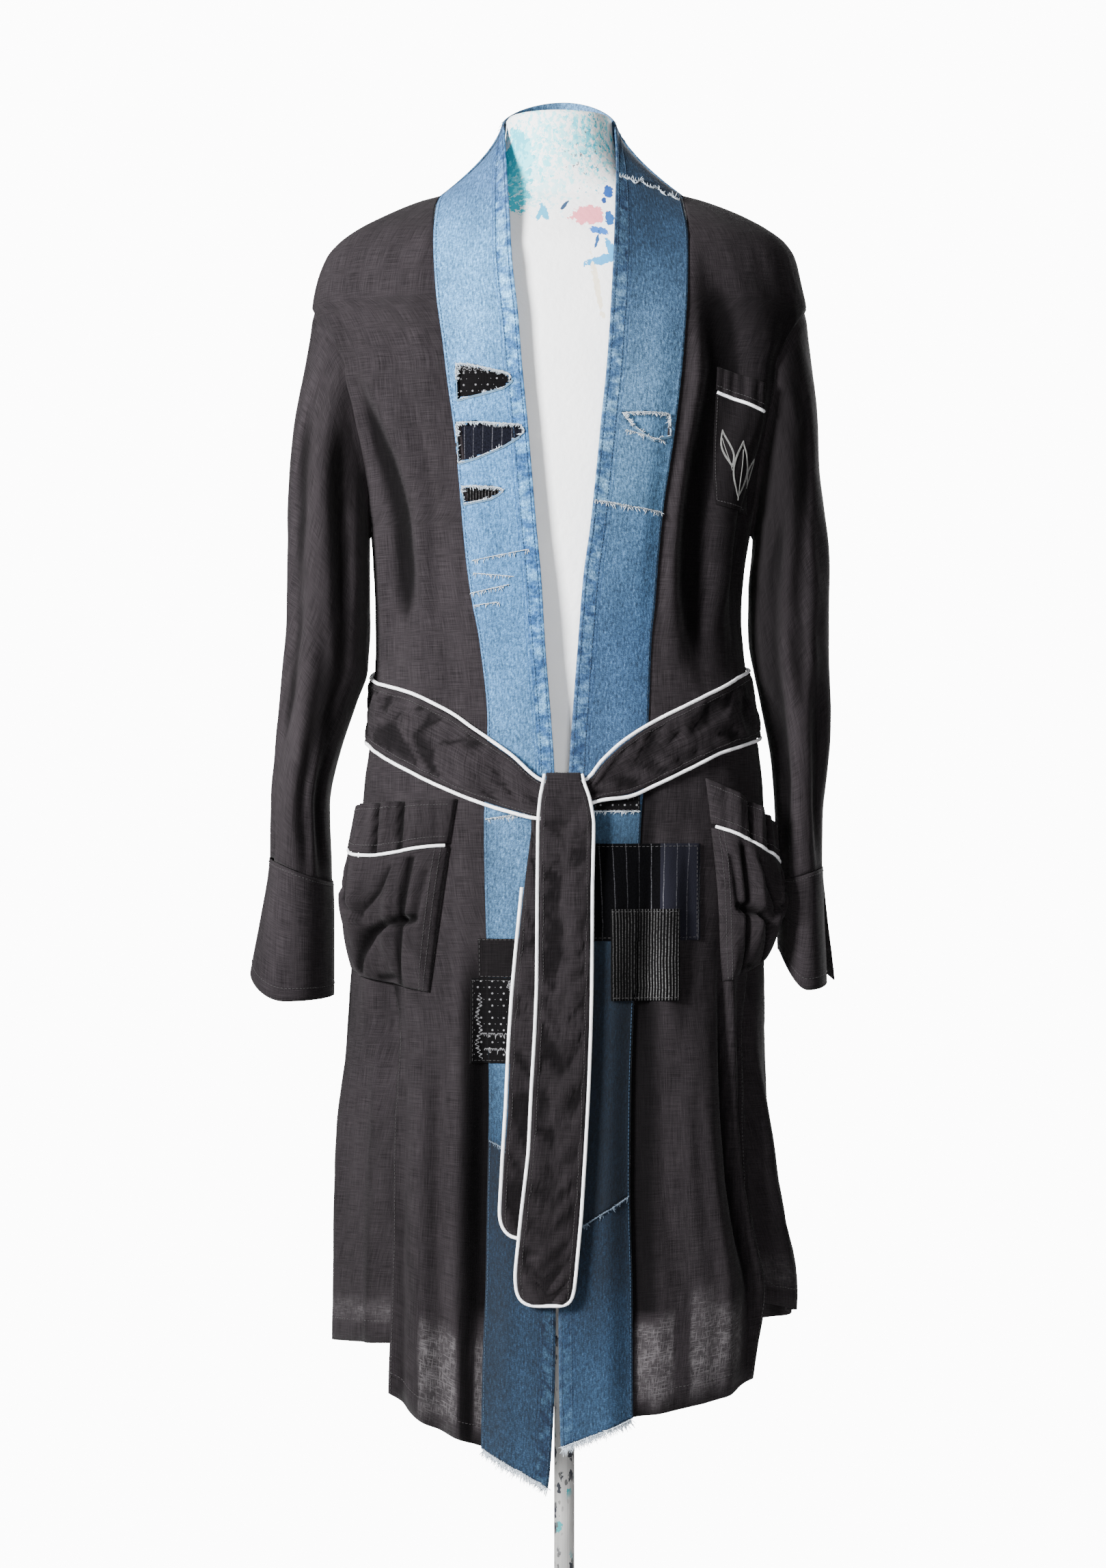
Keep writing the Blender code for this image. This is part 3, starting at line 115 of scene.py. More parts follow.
# Soft folds of the linen: angle, half width in degrees, top, bottom, depth (minus is a trough)
FOLDS = (
    (-41, 3.5, 0.8, 0.3, -0.0035), (-33, 5, 0.74, 0.3, 0.003), (50, 4.5, 0.78, 0.3, -0.0045),
    (40, 5, 0.72, 0.3, 0.003), (68, 6, 0.76, 0.36, 0.004), (80, 5, 0.76, 0.36, -0.005),
    (-70, 7, 0.74, 0.36, -0.004), (40, 4.5, 1.47, 1.13, -0.0045), (60, 6, 1.24, 1.13, 0.004),
    (-52, 5, 1.36, 1.13, -0.004), (118, 7, 1.36, 1.13, 0.005), (150, 8, 1.38, 1.13, -0.0045),
    (205, 8, 1.4, 1.13, -0.005), (238, 7, 1.36, 1.13, 0.0045), (112, 6, 0.98, 0.36, -0.006),
    (132, 7, 1, 0.36, 0.006), (152, 7, 0.98, 0.36, -0.007), (174, 8, 1, 0.36, 0.006),
    (197, 7, 0.98, 0.36, -0.007), (218, 7, 0.99, 0.36, 0.006), (242, 7, 0.98, 0.36, -0.006),
)

# Deeper folds that show in the light, with their drift in degrees a metre
DEEP_FOLDS = (
    (-58, 6, 1.4, 1.1, -0.01, 10), (-47, 5, 1.42, 1.12, 0.005, 6), (-38, 3, 1.45, 1.08, -0.003, -4),
    (-72, 5, 1.3, 1.1, 0.004, 0), (36.5, 4.4, 1.48, 1.07, -0.015, 24), (28, 3.6, 1.46, 1.1, 0.004, 16),
    (52, 5, 1.46, 1.1, 0.006, 16), (66, 5, 1.36, 1.1, -0.008, 10), (-50, 4, 0.95, 0.66, -0.007, 0),
    (-62, 4, 0.96, 0.7, 0.005, 10), (-24.5, 3, 0.8, 0.34, 0.005, 4), (-33, 2.2, 0.74, 0.32, -0.005, 6),
    (-39, 3.4, 0.78, 0.32, 0.006, 4), (-44, 2, 0.64, 0.32, -0.0035, 0), (37.5, 6, 0.8, 0.34, 0.007, 4),
    (47.5, 1.6, 0.86, 0.48, -0.007, 8), (51.5, 1.8, 0.84, 0.44, 0.006, 8),
    (55.5, 1.5, 0.8, 0.52, -0.006, 6), (37, 2.4, 0.74, 0.32, -0.004, 4), (70, 4, 0.72, 0.34, 0.008, 14),
    (61, 2.2, 0.8, 0.56, -0.007, 10), (-60, 3, 0.76, 0.36, -0.005, -4), (-76, 6, 0.74, 0.36, 0.008, -8),
    (30, 3.4, 0.96, 0.72, 0.005, 0), (24, 2.6, 0.95, 0.7, -0.006, 2), (125, 7, 1.4, 1.12, -0.011, 12),
    (165, 8, 1.42, 1.12, 0.006, -6), (222, 7, 1.4, 1.12, -0.011, -12), (192, 6, 1.3, 1.12, -0.006, 4),
    (145, 4, 0.95, 0.36, -0.006, 4), (163, 4, 0.97, 0.36, 0.006, -4), (186, 4, 0.96, 0.36, -0.006, 2),
    (208, 4, 0.97, 0.36, 0.006, 6), (230, 4, 0.95, 0.36, -0.006, -4),
)

# How far the cloth sinks in beside the lapel bands: height, beside the right band, beside the left band
SEAM_DIP = (
    (0.33, 0.008, 0.01), (0.45, 0.011, 0.012), (0.6, 0.013, 0.012), (0.74, 0.008, 0.009),
    (0.85, 0.003, 0.006), (0.93, 0.001, 0.0015), (1.08, 0.001, 0.001), (1.16, 0.004, 0.005),
    (1.3, 0.0045, 0.0065), (1.4, 0.002, 0.003), (1.45, 0, 0), (1.6, 0, 0),
)

# How far a fold may sink before the cloth would meet the form: height, depth
FOLD_ROOM = (
    (0.3, 0.03), (0.8, 0.02), (0.9, 0.013), (1, 0.016), (1.1, 0.014), (1.2, 0.0115), (1.3, 0.011),
    (1.4, 0.01), (1.45, 0.0065), (1.5, 0.0045), (1.54, 0.003),
)

# Armhole, the same on both sides: height, degrees from the front (or back) centre
ARMHOLE = (
    (1.212, 90), (1.218, 84), (1.23, 78.5), (1.27, 68), (1.32, 60), (1.357, 57), (1.38, 61), (1.4, 68),
    (1.414, 77), (1.423, 90),
)

# Side seam, and below VENT_TOP the front's free vent edge: height, degrees at right, at left
SIDE_SEAM = (
    (0.4, 47.5, 53.5), (0.6, 46.5, 58.5), (0.735, 47, 59.5), (0.8, 54, 63), (0.86, 68, 76), (0.92, 78, 84),
    (1, 86, 88), (1.1, 90, 90), (1.212, 90, 90),
)

# Seam between a front and its lapel band: height, distance from the middle at right, at left
LAPEL_SEAM = (
    (0.34, 0.0779, 0.0638), (0.432, 0.0771, 0.0636), (0.51, 0.0741, 0.0632), (0.595, 0.0727, 0.0614),
    (0.686, 0.0708, 0.0621), (0.785, 0.0716, 0.0653), (0.93, 0.0743, 0.0703), (1.026, 0.0712, 0.0773),
    (1.102, 0.0786, 0.0803), (1.14, 0.0861, 0.0845), (1.178, 0.0917, 0.0876), (1.226, 0.0961, 0.0925),
    (1.291, 0.1018, 0.1022), (1.34, 0.1083, 0.1078), (1.38, 0.113, 0.1112), (1.424, 0.1186, 0.1136),
    (1.478, 0.1217, 0.1148), (1.51, 0.1205, 0.1118), (1.522, 0.1172, 0.1102), (1.529, 0.1135, 0.109),
)

# Free edge of the lapel bands: height, X at wearer's right, X at wearer's left
FREE_EDGE = (
    (0.325, -0.0155, -0.003), (0.35, -0.0129, -0.0034), (0.433, -0.0088, -0.0054),
    (0.491, -0.0082, -0.0057), (0.88, -0.0084, -0.0056), (0.976, -0.0092, 0.0034), (1.02, -0.0117, 0.0062),
    (1.101, -0.018, 0.0122), (1.159, -0.0214, 0.0168), (1.206, -0.0258, 0.0232), (1.264, -0.0306, 0.0294),
    (1.307, -0.0343, 0.0335), (1.355, -0.039, 0.0385), (1.405, -0.043, 0.042), (1.455, -0.0485, 0.0448),
    (1.507, -0.0515, 0.047), (1.56, -0.055, 0.0486), (1.597, -0.058, 0.0478),
)

# Upper end of a lapel band, where it leaves the chest and stands up beside the neck
# seam height, free edge height, free edge Y, bow towards the neck, bow upwards
BAND_RISE = (
    (1.38, 1.38, -0.119, -0.004, 0), (1.4, 1.402, -0.1165, -0.004, 0), (1.423, 1.432, -0.111, -0.003, 0),
    (1.452, 1.474, -0.099, -0.001, 0), (1.474, 1.505, -0.085, 0.002, 0), (1.49, 1.53, -0.07, 0.006, 0.001),
    (1.502, 1.548, -0.057, 0.01, 0.002), (1.511, 1.562, -0.045, 0.014, 0.003),
    (1.519, 1.577, -0.032, 0.019, 0.0045), (1.529, 1.597, -0.013, 0.025, 0.006),
)

# How far the hem tilts down from a front's outer corner, across the panel and the band
HEM = {
    "right": {"outer": 0.408, "seam": 0.3632, "edge": 0.329},
    "left": {"outer": 0.419, "seam": 0.3905, "edge": 0.366},
    "back": {"right": 0.455, "middle": 0.433, "left": 0.493},
}

# Rows shared by the panels, the armholes and the bands, from the shoulder down
BODY_ROWS = (
    1.5265, 1.519, 1.511, 1.502, 1.493, 1.483, 1.471, 1.457, 1.441, 1.423, 1.414, 1.4, 1.38, 1.354, 1.325,
    1.295, 1.262, 1.23, 1.212, 1.175, 1.135, 1.095, 1.055, 1.015, 0.97, 0.92, 0.87, 0.825, 0.785, 0.735,
    0.68, 0.62, 0.55, 0.475, 0.4,
)

# Sleeve rings: height, outer side, inner side, half depth, middle Y
SLEEVE = {
    "right": (
        (0.76, 0.303, 0.22, 0.07, 0.004), (0.8, 0.2965, 0.2197, 0.069, 0.004),
        (0.845, 0.288, 0.2197, 0.066, 0.004), (0.895, 0.28, 0.2215, 0.064, 0.004),
        (0.95, 0.2776, 0.2235, 0.064, 0.004), (1.002, 0.272, 0.213, 0.066, 0.003),
        (1.05, 0.268, 0.1975, 0.069, 0.002), (1.08, 0.266, 0.187, 0.071, 0.001),
        (1.132, 0.261, 0.185, 0.074, 0), (1.21, 0.261, 0.1868, 0.077, 0),
        (1.262, 0.26, 0.19, 0.078, 0), (1.34, 0.252, 0.19, 0.076, 0),
        (1.423, 0.241, 0.19, 0.065, 0),
    ),
    "left": (
        (0.76, 0.25, 0.206, 0.068, 0.012), (0.8, 0.249, 0.205, 0.068, 0.012),
        (0.845, 0.247, 0.204, 0.066, 0.012), (0.895, 0.2458, 0.203, 0.064, 0.012),
        (0.95, 0.245, 0.201, 0.064, 0.01), (1.002, 0.247, 0.196, 0.066, 0.007),
        (1.05, 0.249, 0.187, 0.069, 0.004), (1.106, 0.249, 0.176, 0.072, 0.002),
        (1.158, 0.248, 0.1745, 0.074, 0.001), (1.21, 0.245, 0.1808, 0.077, 0),
        (1.262, 0.2415, 0.184, 0.078, 0), (1.34, 0.2385, 0.184, 0.076, 0),
        (1.423, 0.232, 0.184, 0.065, 0),
    ),
}
SLEEVE_SEAM = {"right": (0.902, 0.878), "left": (0.893, 0.88)}
SLEEVE_BLEND = 0.12
SLEEVE_ROWS = (
    0, 0.025, 0.07, 0.13, 0.21, 0.31, 0.43, 0.55, 0.67, 0.79, 0.9, 1,
)

# Cuffs: lowest height at outer side, front, inner side and back, with the slit at the outer side
CUFF_HEM = {"right": (0.793, 0.768, 0.77, 0.785), "left": (0.783, 0.778, 0.813, 0.805)}
CUFF_SLIT = {"right": 1.5, "left": 13}
CUFF_FLARE = {"right": 0, "left": 0.009}

# The dress form: height, half width, front depth, back depth
FORM = (
    (0.838, 0.03, 0.025, 0.025), (0.839, 0.12, 0.07, 0.076), (0.843, 0.154, 0.09, 0.096),
    (0.856, 0.162, 0.096, 0.103), (0.9, 0.162, 0.097, 0.103), (0.96, 0.152, 0.093, 0.094),
    (1.03, 0.144, 0.091, 0.084), (1.09, 0.145, 0.095, 0.088), (1.15, 0.152, 0.101, 0.096),
    (1.212, 0.16, 0.106, 0.103), (1.27, 0.169, 0.108, 0.107), (1.32, 0.18, 0.108, 0.108),
    (1.36, 0.19, 0.106, 0.107), (1.4, 0.2, 0.102, 0.105), (1.43, 0.206, 0.098, 0.102),
    (1.452, 0.209, 0.093, 0.099),
)
# Rings of the form that follow the robe's shoulders just below the cloth
FORM_SHOULDER_ROWS = (1.471, 1.483, 1.493, 1.502, 1.511, 1.519, 1.5255)
# Rings of the form's neck: height, half width, front depth, back depth
FORM_NECK = (
    (1.534, 0.083, 0.056, 0.064), (1.544, 0.067, 0.0535, 0.058), (1.556, 0.059, 0.052, 0.0545),
    (1.572, 0.0535, 0.0505, 0.052), (1.59, 0.051, 0.0495, 0.0505), (1.6, 0.0502, 0.049, 0.05),
    (1.6032, 0.048, 0.047, 0.048),
)
FORM_DROP = 1.5 * MM
FORM_INSET = 0.8 * MM

# Belt round the waist: angle, top edge, bottom edge
BELT = (
    (-180, 1.085, 1.027), (-130, 1.082, 1.024), (-100, 1.074, 1.017), (-75, 1.0645, 1.0085),
    (-51, 1.054, 0.989), (-36, 1.0375, 0.9715), (-25.5, 1.0172, 0.9585), (-15.6, 0.996, 0.948),
    (-6, 0.971, 0.941), (0, 0.967, 0.942), (6, 0.972, 0.954), (10.8, 0.99, 0.9585), (17, 1.008, 0.961),
    (26, 1.025, 0.973), (36, 1.039, 0.987), (50, 1.0545, 1.003), (72, 1.071, 1.013), (100, 1.078, 1.019),
    (130, 1.083, 1.024), (180, 1.085, 1.027),
)

# Belt tails: height, left edge, right edge
TAIL_FRONT = (
    (0.498, -0.032, 0.0005), (0.502, -0.0395, 0.0045), (0.511, -0.0425, 0.0065), (0.525, -0.043, 0.008),
    (0.578, -0.0376, 0.013), (0.634, -0.031, 0.0165), (0.69, -0.0284, 0.0195), (0.786, -0.0234, 0.0225),
    (0.877, -0.0228, 0.0232), (0.937, -0.0222, 0.0244), (0.958, -0.0204, 0.0207), (0.9745, -0.017, 0.0145),
)
TAIL_REAR = (
    (0.558, -0.043, -0.015), (0.56, -0.05, -0.01), (0.568, -0.056, -0.0075), (0.578, -0.0575, -0.007),
    (0.66, -0.0525, -0.003), (0.756, -0.0481, 0.001), (0.8, -0.0443, 0.004), (0.876, -0.037, 0.007),
    (0.915, -0.032, -0.008), (0.934, -0.03, -0.0215), (0.952, -0.029, -0.0215),
)
TAIL_FRONT_ROWS = (
    0.958, 0.937, 0.91, 0.877, 0.835, 0.786, 0.74, 0.69, 0.634, 0.578, 0.525, 0.511, 0.502, 0.498,
)
TAIL_REAR_ROWS = (
    0.952, 0.934, 0.915, 0.876, 0.83, 0.78, 0.73, 0.68, 0.63, 0.578, 0.568, 0.56, 0.558,
)
TAIL_FRONT_OUT = 0.0105
FOLD_OUT = (0.0034, 0.0148)
FOLD_CENTRE = 0.9745
FOLD_BACK_END = 0.94

# Hip pockets: degrees at the inner and outer edges (top, bottom), heights (inner, outer)
HIP_POCKET = {
    "right": {
        "inner": (30.5, 36.5), "outer": (80, 79),
        "top": (0.957, 0.948), "piping": (0.912, 0.906), "bottom": (0.779, 0.798),
        "bulge": 0.027, "mouth": 0.015, "dip": 0.008,
    },
    "left": {
        "inner": (42, 49), "outer": (84, 80),
        "top": (0.976, 0.912), "piping": (0.93, 0.886), "bottom": (0.788, 0.808),
        "bulge": 0.027, "mouth": 0.017, "dip": 0.004,
    },
}
# Chest pocket on the wearer's left: X of the inner and outer edges, heights (inner, outer)
CHEST_POCKET = {
    "inner": (0.144, 0.14), "outer": (0.184, 0.174),
    "top": (1.357, 1.343), "piping": (1.331, 1.316), "bottom": (1.23, 1.223),
}

# Patches on the outside: name, X range, height range, layer, finish
PATCHES = (
    ("patch_black", (-0.08, -0.038), (0.829, 0.7933), 1, "plain_black"),
    ("patch_bandana", (-0.086, -0.036), (0.793, 0.715), 1, "bandana"),
    ("patch_bandana_strip", (0.027, 0.069), (0.96, 0.9465), 1, "bandana"),
    ("patch_pinstripe", (0.024, 0.124), (0.916, 0.827), 1, "pinstripe"),
    ("patch_fine_stripe", (0.042, 0.1035), (0.856, 0.772), 2, "fine_stripe"),
)

# Rips in the bands, as seen from the front: X, height pairs round each hole
RIPS = {
    "rip_bandana": ("band_right_chest", "bandana", (
        (-0.1, 1.357), (-0.087, 1.356), (-0.07, 1.352), (-0.051, 1.347), (-0.0474, 1.341),
        (-0.0555, 1.3345), (-0.076, 1.329), (-0.099, 1.324))),
    "rip_pinstripe": ("band_right_chest", "pinstripe", (
        (-0.1, 1.303), (-0.08, 1.303), (-0.056, 1.301), (-0.04, 1.3), (-0.0368, 1.294),
        (-0.0395, 1.2905), (-0.055, 1.281), (-0.079, 1.271), (-0.098, 1.266))),
    "rip_fine_stripe": ("band_right_chest", "fine_stripe", (
        (-0.0952, 1.2445), (-0.074, 1.244), (-0.0591, 1.2425), (-0.0551, 1.24), (-0.0671, 1.233),
        (-0.093, 1.2285))),
    "rip_denim": ("band_left_chest", "denim", (
        (0.0528, 1.3108), (0.0788, 1.312), (0.097, 1.311), (0.0985, 1.2915), (0.0908, 1.2892),
        (0.0808, 1.287), (0.0748, 1.2912), (0.0608, 1.3012))),
}
RIP_PATCH_MARGIN = 0.006

# Soft folds of the sleeves: turn, half width in degrees, top, bottom, depth, drift in degrees a metre
SLEEVE_FOLDS = {
    "right": (
        (60, 12, 1.36, 1, -0.006, -60), (112, 12, 1.34, 0.98, -0.008, 20),
        (25, 12, 1.2, 0.92, 0.0045, 40), (85, 11, 1.14, 0.87, -0.008, 90),
        (40, 9, 1.1, 0.87, -0.005, -40), (135, 10, 1.05, 0.87, -0.008, 30),
        (250, 16, 1.3, 0.95, -0.006, 20), (300, 14, 1.2, 0.9, 0.005, -30),
        (75, 8, 1.41, 1.22, 0.004, 80), (140, 9, 1.3, 1.12, 0.004, -40),
    ),
    "left": (
        (70, 12, 1.36, 1.02, -0.006, 40), (30, 12, 1.28, 0.95, 0.004, -30),
        (110, 11, 1.26, 0.92, -0.008, 60), (60, 11, 1.1, 0.88, -0.006, -70),
        (140, 10, 1.1, 0.88, -0.007, 0), (255, 16, 1.3, 0.95, -0.006, -20),
        (300, 14, 1.2, 0.9, 0.005, 30), (50, 8, 1.4, 1.22, -0.004, 60),
    ),
}

# Where the fronts' thin linen gets painted light, as if the light behind showed through it with nothing
# hanging behind: X from, X to, top
THIN_ZONES = {
    "right": ((-0.133, -0.0975, 0.474), (-0.0868, -0.074, 0.472)),
    "left": ((0.064, 0.101, 0.485), (0.1135, 0.166, 0.495)),
}

# Lengths of the lapel bands: side, the upper join's height and its rise to the free edge, and the lower join's
BAND_PIECES = (
    ("band_right_chest", "right", 1.528, 0, 0.938, 0.01),
    ("band_right_skirt", "right", 0.9378, 0.01, 0.644, -0.02),
    ("band_right_hem", "right", 0.6438, -0.02, HEM["right"]["seam"], 0),
    ("band_left_chest", "left", 1.528, 0, 1.2202, 0.011),
    ("band_left_waist", "left", 1.22, 0.011, 0.952, 0),
    ("band_left_skirt", "left", 0.9518, 0, 0.594, -0.03),
    ("band_left_hem", "left", 0.5938, -0.03, HEM["left"]["seam"], 0),
)

# Worn slashes with no hole: X from, X to, height, tilt, threads
SLASHES = (
    (-0.086, -0.033, 1.176, 0.01, 26), (-0.086, -0.045, 1.165, -0.004, 18),
    (-0.088, -0.05, 1.146, 0.008, 30), (-0.084, -0.06, 1.135, 0.003, 14), (0.056, 0.093, 1.2955, -0.01, 30),
)

# Creases of the hip pockets: middle across, half width, start down, end down, depth, slant
POCKET_CREASES = (
    (0.3, 0.06, 0.05, 0.9, 0.006, 0.04), (0.56, 0.07, 0.05, 0.85, 0.006, -0.04),
    (0.76, 0.06, 0, 0.6, 0.005, -0.1), (0.7, 0.05, 0, 0.5, -0.005, -0.1),
)

# Short gathers of the hip pockets' top bands: middle across, half width, depth
POCKET_GATHERS = (
    (0.12, 0.04, -0.003), (0.22, 0.05, 0.003), (0.33, 0.04, -0.009), (0.42, 0.04, 0.0045),
    (0.51, 0.035, -0.011), (0.66, 0.05, 0.0045), (0.84, 0.03, -0.004),
)

# Curved creases of the hip pockets' bags: (across, down) points, half width, depth
POCKET_CURVES = (
    (((0.16, 0.5), (0.31, 0.52), (0.43, 0.6), (0.5, 0.75), (0.57, 0.92)), 0.06, -0.012),
    (((0.2, 0.06), (0.21, 0.3), (0.22, 0.55), (0.24, 0.98)), 0.045, -0.0095),
    (((0.33, 0.1), (0.4, 0.28), (0.5, 0.44)), 0.045, -0.005),
    (((0.78, 0.06), (0.74, 0.26), (0.64, 0.38), (0.5, 0.48)), 0.045, -0.0055),
    (((0.1, 0.16), (0.13, 0.5)), 0.04, -0.005), (((0.42, 0.96), (0.3, 0.93)), 0.05, -0.006),
)

# Paint on the form: centre X and height, half width, half height, slant, colour, grain, cover
FORM_STAINS = (
    (0, 1.572, 0.062, 0.04, 0, (0.34, 0.8, 0.86), 240, 0.3),
    (0.018, 1.58, 0.04, 0.03, 0, (0.1, 0.62, 0.76), 200, 0.25),
    (0.026, 1.572, 0.024, 0.05, 0, (0.04, 0.42, 0.56), 170, 0.2),
    (0.014, 1.56, 0.034, 0.05, 0, (0.12, 0.13, 0.16), 260, 0.15),
    (-0.044, 1.545, 0.014, 0.04, 0, (0.04, 0.48, 0.6), 90, 0.4),
    (-0.034, 1.553, 0.024, 0.04, 0, (0.16, 0.7, 0.8), 170, 0.29),
    (-0.02, 1.528, 0.032, 0.026, 0, (0.52, 0.84, 0.9), 200, 0.28),
    (0.022, 1.5, 0.014, 0.008, 6, (0.78, 0.25, 0.3), 160, 0.5),
    (-0.019, 1.503, 0.003, 0.008, 20, (0.05, 0.38, 0.6), 220, 0.45),
    (-0.023, 1.501, 0.002, 0.006, -25, (0.05, 0.38, 0.6), 220, 0.45),
    (0, 1.51, 0.0015, 0.005, -35, (0.03, 0.06, 0.12), 220, 0.45),
    (0.033, 1.484, 0.01, 0.0035, -12, (0.03, 0.14, 0.45), 200, 0.42),
    (0.042, 1.496, 0.0035, 0.007, 8, (0.02, 0.1, 0.3), 200, 0.45),
    (0.03, 1.474, 0.0015, 0.01, -12, (0.02, 0.08, 0.22), 220, 0.4),
    (0.036, 1.456, 0.015, 0.004, 14, (0.04, 0.3, 0.6), 200, 0.46),
    (0.044, 1.464, 0.004, 0.012, 24, (0.04, 0.3, 0.6), 200, 0.44),
    (0.041, 1.525, 0.0035, 0.006, -10, (0.02, 0.08, 0.3), 200, 0.48),
    (0.037, 1.516, 0.0018, 0.003, 0, (0.02, 0.06, 0.22), 200, 0.48),
    (0.03, 1.43, 0.003, 0.035, 10, (0.8, 0.72, 0.58), 160, 0.4),
)

DOWN = Vector((0.0, 0.0, -1.0))

SIDES = ("right", "left")
SIGN = {"right": -1.0, "left": 1.0}


def blend(start, end, part):
    return start + (end - start) * part


def ease(value, start, end):
    """0 before start, 1 after end, and a soft step between (start may be the larger)."""
    part = min(1.0, max(0.0, (value - start) / (end - start)))
    return part * part * (3.0 - 2.0 * part)


def steps(start, end, count):
    """Even steps from start to end, both of them included."""
    return [start + (end - start) * step / count for step in range(count + 1)]


def crest(off):
    """1 along the middle of a fold and 0 past its sides, which lie at 1 and -1."""
    return math.cos(0.5 * math.pi * off) ** 2 if abs(off) < 1.0 else 0.0


def waves(turn):
    return math.cos(math.radians(turn)), math.sin(math.radians(turn))


def curve_through(keys, values):
    """A smooth curve through a table, without overshoot."""
    rises = [(values[i + 1] - values[i]) / (keys[i + 1] - keys[i]) for i in range(len(keys) - 1)]
    slopes = [2.0 * a * b / (a + b) if a * b > 0.0 else 0.0 for a, b in zip(rises, rises[1:])]
    slopes = [rises[0], *slopes, rises[-1]]

    def value(key):
        key = min(max(key, keys[0]), keys[-1])
        index = max(0, bisect.bisect_left(keys, key) - 1)
        span = keys[index + 1] - keys[index]
        part = (key - keys[index]) / span
        square, cube = part * part, part * part * part
        level = values[index] * (2 * cube - 3 * square + 1) + values[index + 1] * (3 * square - 2 * cube)
        leaving, arriving = slopes[index] * span, slopes[index + 1] * span
        return level + leaving * (cube - 2 * square + part) + arriving * (cube - square)
    return value


def column_curves(table):
    """One smooth curve for each value column of a table whose first column is the key."""
    keys, *columns = zip(*table)
    return [curve_through(keys, column) for column in columns]


def by_side(table):
    return dict(zip(SIDES, column_curves(table)))


RING_CURVES = column_curves(RINGS)
armhole_angle, = column_curves(ARMHOLE)
fold_room, = column_curves(FOLD_ROOM)
seam_dip, side_seam, lapel_seam, free_edge = map(by_side, (SEAM_DIP, SIDE_SEAM, LAPEL_SEAM, FREE_EDGE))
rise_height, rise_depth, rise_bow, rise_lift = column_curves(BAND_RISE)
belt_top, belt_bottom = column_curves(BELT)


@functools.lru_cache(maxsize=None)
def ring_at(height):
    """Half width at right and at left, depth at front and at back, and squareness of a ring."""
    return tuple(curve(height) for curve in RING_CURVES)


def superellipse(right, left, front, back, power, turn, height):
    """Point of a level ring at a turn in radians from the front centre."""
    side, ahead = math.sin(turn), math.cos(turn)
    reach = (abs(side) ** power + abs(ahead) ** power) ** (-1.0 / power)
    half, depth = left if side > 0.0 else right, front if ahead > 0.0 else back
    return Vector((half * side * reach, -depth * ahead * reach, height))


def signed(angle):
    return (angle + 180.0) % 360.0 - 180.0


def hole_calm(angle, height):
    """0 at the armholes and the shoulders, where the cloth lies flat, and 1 away from them."""
    turn = abs(signed(angle))
    calm = 1.0
    if UNDERARM < height < SHOULDER_TIP:
        hole = armhole_angle(height)
        calm = ease(hole - turn if turn < 90.0 else turn - 180.0 + hole, 0.5, 7.0)
    return calm * ease(height, 1.50, 1.44)


def crumple(angle, height):
    """Small uneven wrinkles of the linen all over."""
    turn = math.radians(angle)
    x, y = math.sin(turn) * 3.0, math.cos(turn) * 3.0
    long_folds = noise.noise(Vector((x * 1.6 + 3.1, y * 1.6, height * 6.4 - height * 4.6)))
    medium = noise.noise(Vector((x * 5.0, y * 5.0, height * 15.0)))
    small = noise.noise(Vector((x * 13.0, y * 13.0, height * 42.0)))
    return 0.0016 * long_folds + 0.0011 * medium + 0.0004 * small


def fold_sum(folds, angle, height, fade_in, fade_out):
    """How far a table of folds lifts or sinks the cloth."""
    total = 0.0
    for middle, half_width, top, bottom, depth, *drift in folds:
        across = crest(signed(angle - middle - sum(drift) * (top - height)) / (2.0 * half_width))
        if across:
            faded = ease(height, top, top - fade_in) * ease(height, bottom - 0.02, bottom + fade_out)
            total += depth * across * faded
    return total


@functools.lru_cache(maxsize=None)
def fold_relief(angle, height):
    """How far the folds lift or sink the cloth at this place."""
    total = crumple(angle, height) + fold_sum(FOLDS, angle, height, 0.12, 0.05)
    total = (total + fold_sum(DEEP_FOLDS, angle, height, 0.10, 0.08)) * hole_calm(angle, height)
    turn = signed(angle)
    if abs(turn) < 90.0:
        side = "left" if turn > 0.0 else "right"
        past_seam = abs(turn) - abs(angle_at(lapel_x(side, height), height))
        total *= ease(past_seam, 0.5, 5.0)
        share = ease(past_seam, 7.0, 1.0) * ease(past_seam, -7.0, 0.0) * (1.0 if past_seam > 0.0 else 0.7)
        total -= seam_dip[side](height) * share
    room = fold_room(height)
    return total if total > 0.0 else -room * math.tanh(-total / room)


def shape_point(angle, height):
    """Point of the robe's shape, on the level ring of this height."""
    return superellipse(*ring_at(height), math.radians(angle), height)


def around(angle, height):
    """The ring's run through a place, over one degree."""
    return shape_point(angle + 0.5, height) - shape_point(angle - 0.5, height)


def shape_normal(angle, height):
    upward = shape_point(angle, height + MM) - shape_point(angle, height - MM)
    return around(angle, height).cross(upward).normalized()


def off_shape(angle, height, out):
    return shape_point(angle, height) + shape_normal(angle, height) * out


def on_robe(angle, height, out=0.0):
    """Point on the cloth with its folds, moved out along the normal."""
    return off_shape(angle, height, out + fold_relief(angle, height))


def angle_at(x, height):
    """Angle on the front half at which the ring of this height has this X."""
    right, left, _, _, power = ring_at(height)
    share = min(abs(x) / (left if x > 0.0 else right), 0.99999)
    if share < 1e-6:
        return 0.0
    cotangent = (share ** -power - 1.0) ** (1.0 / power)
    return math.copysign(math.degrees(math.atan2(1.0, cotangent)), x)


def gap_angle(angle, height, gap):
    """Turn that moves a point of the ring along by a gap."""
    return gap / around(angle, height).length


def lapel_x(side, height):
    return SIGN[side] * lapel_seam[side](height)


